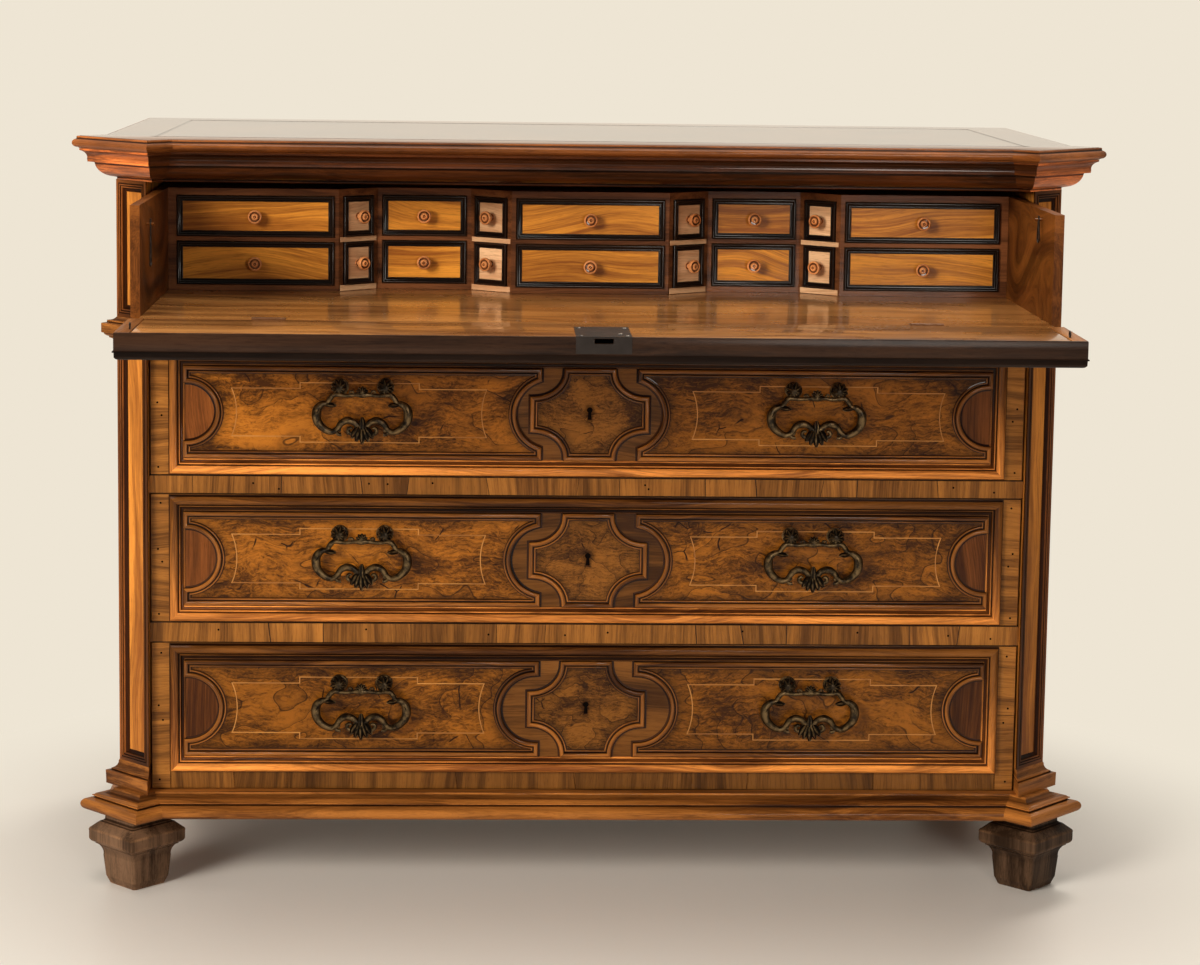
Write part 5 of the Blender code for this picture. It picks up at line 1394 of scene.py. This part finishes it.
class COMMODE_OT_handles(bpy.types.Operator):
    """Cast bails and the leaf heads that carry them"""

    bl_idname = "commode.handles"
    bl_label = "Bronze handles"

    def cast(self, bail, spot):
        """Loop, inner scrolls, crown on the bar and the fan of leaves at the drop."""
        half = np.array(BAIL)
        loop = smooth_loop(np.concatenate((half, half[-2:0:-1] * (-1, 1, 1))), 6)
        path = np.stack((loop[:, 0], 0 * loop[:, 0], loop[:, 1]), 1)
        bail.tube(path + spot, BAR_R * BAIL_SWELL * loop[:, 2], sides=14)
        leaf_at(bail, spot, *TONGUE)
        for fan in DROP_FAN:
            x, length = math.sin(math.radians(-fan)) * DROP_REACH, DROP_LENGTH - abs(fan) * DROP_SHORTER
            leaf_at(bail, spot, x, DROP_Z, fan, length, *DROP_LEAF)
        for fan in CROWN_FAN:
            leaf_at(bail, spot, 0, CROWN_UP, fan, *CROWN_LEAF)
        bail.turned(traced(BOSS_MARKS), Matrix.Translation(spot + (0, 0, CROWN_UP)) @ UPRIGHT, 18)
        for hand in (-1, 1):
            for scroll in SCROLLS:
                spiral(bail, spot, hand, *scroll)
            for x, z, bearing, *size in SHOULDER_LEAVES:
                leaf_at(bail, spot, hand * x, z, hand * bearing, *size)

    def head(self, heads, middle, hand):
        """Stem on the front under a shell of hanging leaves that leans outwards."""
        heads.turned(traced(STEM_MARKS), Matrix.Translation(middle + (0, 0, STEM_UP)) @ UPRIGHT, 24)
        x, z = HEAD_ROOT
        for fan, length in HEAD_LEAVES:
            leaf_at(heads, middle, hand * x, z, fan - hand * HEAD_LEAN, length, *HEAD_LEAF)

    def execute(self, context):
        for number, band in enumerate(BAND, 1):
            low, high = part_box(f"drawer_{number}_front")
            axis_z = (low.z + band + FRAME_EDGE + high.z - FRAME_EDGE) / 2 + HANDLE_UP
            heads = Stock(120 + number)
            for side, sign in SIDES:
                spot = np.array((sign * HANDLE_X, FRONT_Y - AXIS_OUT, axis_z))
                bail = Stock(130 + number)
                self.cast(bail, spot)
                piece(f"bail_{number}_{side}_cast", bail, finish("bronze"), f"bail_{number}_{side}",
                      (f"bail_{number}_{side}",))
                for hand in (-1, 1):
                    self.head(heads, spot + (hand * POST_X, AXIS_OUT, POST_LIFT), hand)
            piece(f"drawer_{number}_handle_heads", heads, finish("bronze"), f"drawer_{number}")
        return {"FINISHED"}


class COMMODE_OT_tray(bpy.types.Operator):
    """Writing tray: its floor, sides, hinges and wire loops"""

    bl_idname = "commode.tray"
    bl_label = "Writing tray"

    def execute(self, context):
        wire = context.scene.commode_sizes.hook_wire
        dress_node("tray_floor", finish("writing"))
        for side, _ in SIDES:
            dress_node(f"tray_side_{side}", finish("tray"))
            dress_node(f"fall_hinge_{side}", finish("hinge"))
            low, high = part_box(f"hook_{side}")
            middle = (low + high) / 2
            narrow, wide = wire * 1.2, (high.y - low.y) / 2
            top = arc((middle.y, high.z - wire - narrow), narrow, 0, 180, 10)
            foot = arc((middle.y, low.z + wire + wide), wide, 180, 360, 10)
            ring = np.concatenate((top, foot))
            loop = smooth_loop(np.stack((np.full(len(ring), middle.x), ring[:, 0], ring[:, 1]), 1), 3)
            stock = Stock(140)
            stock.tube(loop, wire, flat=(1, 0, 0), sides=10)
            piece(f"hook_{side}_wire", stock, finish("iron"), f"hook_{side}", (f"hook_{side}",))
        return {"FINISHED"}


def nest_columns():
    """Columns of small drawers from the middle out: name, ends in x, and depths of the front at these ends."""
    b0, b1, b2, b3 = NEST_BREAKS
    front, back = NEST_Y, NEST_Y + SET_BACK
    columns = [("centre", -b0, b0, front, front)]
    for side, sign in SIDES:
        for kind, x0, x1, y0, y1 in (("inner_angle", b0, b1, front, back), ("bay", b1, b2, back, back),
                                     ("outer_angle", b2, b3, back, front),
                                     ("end", b3, NEST_HALF - STILE, front, front)):
            columns.append((f"{kind}_{side}", *((x0, x1, y0, y1) if sign > 0 else (-x1, -x0, y1, y0))))
    return columns


def small_box_rings(x0, x1, y0, y1, slope, low, high):
    """Open box as rings up its outside and down its inside: the front runs from (x0, y0) to (x1, y1)."""
    wall, end = SMALL_WALL, high.y
    outside = np.array(((x0, y0), (x1, y1), (x1, end), (x0, end)))
    inside = np.array(((x0 + wall, y0 + slope * wall + SMALL_FRONT), (x1 - wall, y1 - slope * wall + SMALL_FRONT),
                       (x1 - wall, end - wall), (x0 + wall, end - wall)))
    levels = ((outside, low.z), (outside, high.z), (inside, high.z), (inside, low.z + wall))
    return np.stack([np.column_stack((ring, np.full(len(ring), z))) for ring, z in levels])


class COMMODE_OT_nest(bpy.types.Operator):
    """Nest of small drawers with ebonised frames and turned knobs"""

    bl_idname = "commode.nest"
    bl_label = "Small drawers"

    def drawer(self, name, x0, x1, y0, y1, slope):
        """One small drawer between two ends of its front: box, frame, field and knob."""
        low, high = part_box(name)
        seed = sum(map(ord, name))
        box, edge, field, pull = (Stock(number) for number in (len(name), seed, seed + 1, seed + 2))
        box.skin(small_box_rings(x0, x1, y0, y1, slope, low, high), order=(1, 0, 2), caps=True)
        angle = math.atan(slope)
        place = Matrix.Translation(((x0 + x1) / 2, (y0 + y1) / 2, (low.z + high.z) / 2))
        turn = place @ Matrix.Rotation(angle, 4, "Z")
        reach, rise = (x1 - x0) / 2 / math.cos(angle), (high.z - low.z) / 2
        inside = rise - SMALL_FIELD_IN
        edge.moulding(rectangle(reach, -rise, rise), shut(traced(SMALL_FRAME_MARKS, 5)), turn)
        field.plate(rectangle(reach - SMALL_FIELD_IN, -inside, inside), SMALL_FIELD_UP, turn)
        pull.turned(traced(KNOB_MARKS, 5), turn @ UPRIGHT, reach=KNOB_WEAR)
        piece(f"{name}_box", box, finish("small_lining"), name, (name,))
        piece(f"{name}_frame", edge, finish("ebony"), name)
        # Angled fields take the pale finish, a painted reflection
        piece(f"{name}_field", field, finish("angle" if slope else "field"), name)
        piece(f"{name}_knob", pull, finish("knob"), name)

    def rails(self, column, x0, x1, y0, y1, slope, proud):
        """Veneers under and between the two drawers of an angled column."""
        stock = Stock(sum(map(ord, f"small_{column}_upper")))
        lower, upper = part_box(f"small_{column}_lower"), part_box(f"small_{column}_upper")
        angle = math.atan(slope)
        turn = Matrix.Translation(((x0 + x1) / 2, (y0 + y1) / 2, 0)) @ Matrix.Rotation(angle, 4, "Z")
        reach = (x1 - x0) / 2 / math.cos(angle) + STILE
        for low, high in ((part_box("small_drawer_nest")[0].z, lower[0].z), (lower[1].z, upper[0].z)):
            stock.plate(oblong(-reach, reach, low + GAP, high - GAP), proud, turn)
        # The angled columns' rails take the same pale finish, a painted reflection
        piece(f"nest_{column}_rails", stock, finish("angle"), "tray")

    def execute(self, context):
        dress_node("small_drawer_nest", finish("nest"))
        play = STILE + CELL_PLAY
        for column, x0, x1, y0, y1 in nest_columns():
            slope = (y1 - y0) / (x1 - x0)
            ends = x0 + play, x1 - play, y0 + slope * play, y1 - slope * play
            for row in ("lower", "upper"):
                self.drawer(f"small_{column}_{row}", *ends, slope)
            if slope:
                self.rails(column, *ends, slope, context.scene.commode_sizes.veneer_proud)
        return {"FINISHED"}


class COMMODE_OT_fall(bpy.types.Operator):
    """Fall with its lipping, the ornament of its outer face, eyes, lock and bolt"""

    bl_idname = "commode.fall"
    bl_label = "Fall"

    def execute(self, context):
        s = context.scene.commode_sizes
        half, edge, start = FALL_HIGH.x, FALL_LOW.y, FALL_HIGH.y
        under, inner = WRITING_Z - FALL_T, edge + LIP
        board, ends, lipping, eyes, screws = (Stock(seed) for seed in range(150, 155))
        board.board((-half + CLAMP, inner, under), (half - CLAMP, start, WRITING_Z), PLAIN, edge=FALL_EASE)
        piece("fall_board", board, finish("fall"), "fall", ("fall_front",))
        for sign in (-1, 1):
            x0, x1 = sorted((sign * (half - CLAMP + s.crack), sign * half))
            ends.board((x0, inner, under), (x1, start, WRITING_Z), (1, 0, 2))
        piece("fall_end_clamps", ends, finish("clamp"), "fall")
        lipping.board((-half, edge, under), (half, inner - LIP_GAP, WRITING_Z), PLAIN, edge=LIP_EASE)
        piece("fall_lipping", lipping, finish("lip"), "fall")
        face_down = Matrix.Translation((0, start, under)) @ UPRIGHT
        ornament("fall", half - FALL_EDGE, FALL_EDGE, start - edge - FALL_EDGE, face_down, "lip")
        ring = arc((0, 0), EYE_R, 0, 330, 22)
        for x in (-EYE_X, EYE_X):
            path = np.stack((np.full(len(ring), x), edge + EYE_IN + ring[:, 1], WRITING_Z + EYE_R + ring[:, 0]), 1)
            eyes.tube(path, EYE_WIRE, flat=(1, 0, 0), sides=8)
        piece("fall_eyes", eyes, finish("iron"), "fall")
        dress_node("fall_lock", finish("iron"))
        dress_node("fall_bolt", finish("iron"))
        for x, y in LOCK_SCREWS:
            spot = Matrix.Translation((x, edge + y, WRITING_Z + LOCK_PROUD))
            screws.turned(traced(SCREW_MARKS, 5), spot, 18)
        piece("fall_lock_screws", screws, finish("iron"), "fall")
        return {"FINISHED"}


OPERATORS = (COMMODE_OT_stage, COMMODE_OT_top, COMMODE_OT_cornice, COMMODE_OT_base, COMMODE_OT_case,
             COMMODE_OT_pilasters, COMMODE_OT_rails, COMMODE_OT_drawers, COMMODE_OT_handles, COMMODE_OT_tray,
             COMMODE_OT_nest, COMMODE_OT_fall)


class CommodeSizes(bpy.types.PropertyGroup):
    """Sizes of the dressing and levels of the stage"""

    veneer_proud: FloatProperty(name="Veneer", description="Veneer above its ground", default=0.0004, unit="LENGTH")
    crack: FloatProperty(name="Crack", description="Crack between two veneers", default=0.0013, unit="LENGTH")
    foot_round: FloatProperty(name="Foot corners", description="Radius of the worn corners of the feet",
                              default=0.005, unit="LENGTH")
    # Painted shade on the right feet
    foot_painted_shade: FloatProperty(name="Foot painted shade", description="Stops by which the right feet are darker", default=0.9)
    # Painted light on the cants of the cornice and of the top's edge
    cant_painted_light: FloatProperty(name="Cant painted light", description="Stops by which the cornice is lighter on the cants",
                             default=0.9)
    # Painted shade on the posts' frames towards the drawers
    post_painted_shade: FloatProperty(name="Post painted shade", description="Stops by which the posts darken towards the drawers",
                              default=1.7)
    edge_darkening: FloatProperty(name="Edge darkening", description="Stops by which the panels darken towards their edges", default=1.2)
    hook_wire: FloatProperty(name="Hook wire", description="Radius of the hooks' wire", default=0.0011, unit="LENGTH")
    lens: FloatProperty(name="Lens", description="Focal length of the camera", default=0.08643, unit="LENGTH")
    shift: FloatProperty(name="Shift", description="Upright shift of the camera", default=-0.120)
    air: FloatProperty(name="Air", description="Strength of the light from all round", default=0.11)
    front_shine: FloatProperty(name="Front shine", description="Strength of what polish mirrors from the front",
                               default=0.15)
    key: FloatProperty(name="Key", description="Power of the lamp at the left", default=205.0)
    fill: FloatProperty(name="Fill", description="Power of the lamp in front", default=28.0)
    above: FloatProperty(name="Above", description="Power of the lamp overhead", default=66.0)
    behind: FloatProperty(name="Behind", description="Power of the lamp behind", default=80.0)
    floor_fade: FloatProperty(name="Floor", description="Where the floor starts to fade into the backdrop",
                              default=0.7, unit="LENGTH")


# Pairs of screen colours: what they are on, their light and their dark places
COLOUR_PAIRS = {
    "case": ("Corner posts", (238, 154, 64), (152, 88, 34)),
    "post": ("Mouldings of the corner posts", (148, 86, 38), (96, 53, 23)),
    "moulding": ("Mouldings", (184, 116, 52), (88, 48, 19)),
    "bead": ("Beads", (152, 94, 39), (64, 34, 12)),
    # Cornice colours darkened as painted shade under the top's edge; the cants get painted light back
    "cornice": ("Cornice", (90, 46, 18), (36, 16, 6)),
    "ground": ("Ground of the panels", (124, 78, 32), (62, 35, 13)),
    "band": ("Crossbanding", (172, 112, 48), (100, 61, 25)),
    "burl": ("Burl panels", (178, 108, 32), (70, 37, 9)),
    "shield": ("Burl shields", (142, 89, 32), (58, 31, 10)),
    "lunette": ("Lunettes", (134, 76, 31), (68, 34, 12)),
    "string": ("Stringing", (206, 146, 76), (152, 100, 50)),
    "ebony": ("Ebonised frames", (40, 26, 19), (18, 11, 9)),
    "field": ("Small drawers", (244, 162, 58), (156, 90, 32)),
    # Pale colours of the angled drawers are a painted reflection
    "angle": ("Angled small drawers", (248, 202, 154), (206, 152, 108)),
    "knob": ("Knobs", (236, 160, 100), (190, 116, 66)),
    "lining": ("Drawer linings", (190, 148, 98), (142, 102, 62)),
    "back": ("Back and bottom", (142, 102, 62), (96, 64, 38)),
    "writing": ("Writing surface", (206, 143, 79), (122, 75, 38)),
    "clamp": ("End clamps of the fall", (176, 116, 62), (118, 70, 34)),
    "lip": ("Lipping of the fall", (60, 39, 26), (34, 21, 14)),
    "tray": ("Tray sides", (134, 78, 32), (64, 32, 12)),
    "nest": ("Nest", (132, 80, 46), (74, 42, 24)),
    "foot": ("Feet", (124, 94, 70), (62, 44, 30)),
    "top": ("Top", (168, 110, 62), (110, 64, 32)),
    "bronze": ("Bronze", (138, 112, 74), (36, 28, 18)),
    "hinge": ("Hinges", (150, 104, 58), (104, 64, 32)),
    "iron": ("Iron", (128, 120, 112), (52, 46, 43)),
    "pin": ("Pins and keyholes", (16, 10, 7), (16, 10, 7)),
}


def colour(name, description, *screen):
    """Colour property from a screen colour."""
    return FloatVectorProperty(name=name, description=description, subtype="COLOR", size=3, min=0, max=1,
                               default=linear(*screen))


def with_pairs(group):
    """Gives a group of properties a light and a dark colour for each of the pairs."""
    for pair, (where, light, dark) in COLOUR_PAIRS.items():
        for shade, screen in (("light", light), ("dark", dark)):
            group.__annotations__[f"{pair}_{shade}"] = colour(
                f"{where}, {shade}", f"Colour of the {shade} places: {where.lower()}", *screen)
    return group


@with_pairs
class CommodeColours(bpy.types.PropertyGroup):
    """Colours of the finishes"""

    backdrop: colour("Backdrop", "Backdrop seen by the camera", 238, 229, 212)
    floor: colour("Floor", "Pale floor", 240, 236, 230)
    air: colour("Air", "Light from all round", 255, 246, 232)
    lamp: colour("Lamps", "Light of the lamps", 255, 247, 236)
    burl_vein: colour("Burl, veins", "Veins and knots of the burl", 40, 20, 8)


class COMMODE_PT_pieces(bpy.types.Panel):
    """Panel that lists the commode's pieces"""

    bl_idname = "COMMODE_PT_pieces"
    bl_label = "Commode"
    bl_space_type = "VIEW_3D"
    bl_region_type = "UI"
    bl_category = "Commode"

    def draw(self, context):
        for operator in OPERATORS:
            self.layout.operator(operator.bl_idname)
        for group in (context.scene.commode_sizes, context.scene.commode_colours):
            for name in group.bl_rna.properties.keys():
                if name not in {"rna_type", "name"}:
                    self.layout.prop(group, name)


CLASSES = (CommodeSizes, CommodeColours, *OPERATORS, COMMODE_PT_pieces)


def register():
    """Registers the classes and hangs the property groups on the scene."""
    for cls in CLASSES:
        bpy.utils.register_class(cls)
    bpy.types.Scene.commode_sizes = PointerProperty(type=CommodeSizes)
    bpy.types.Scene.commode_colours = PointerProperty(type=CommodeColours)


def unregister():
    """Takes the property groups and classes away again."""
    del bpy.types.Scene.commode_colours
    del bpy.types.Scene.commode_sizes
    for cls in reversed(CLASSES):
        bpy.utils.unregister_class(cls)


def main():
    """Registers the add-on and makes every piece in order."""
    register()
    for operator in OPERATORS:
        group, name = operator.bl_idname.split(".")
        getattr(getattr(bpy.ops, group), name)()


if __name__ == "__main__":
    main()
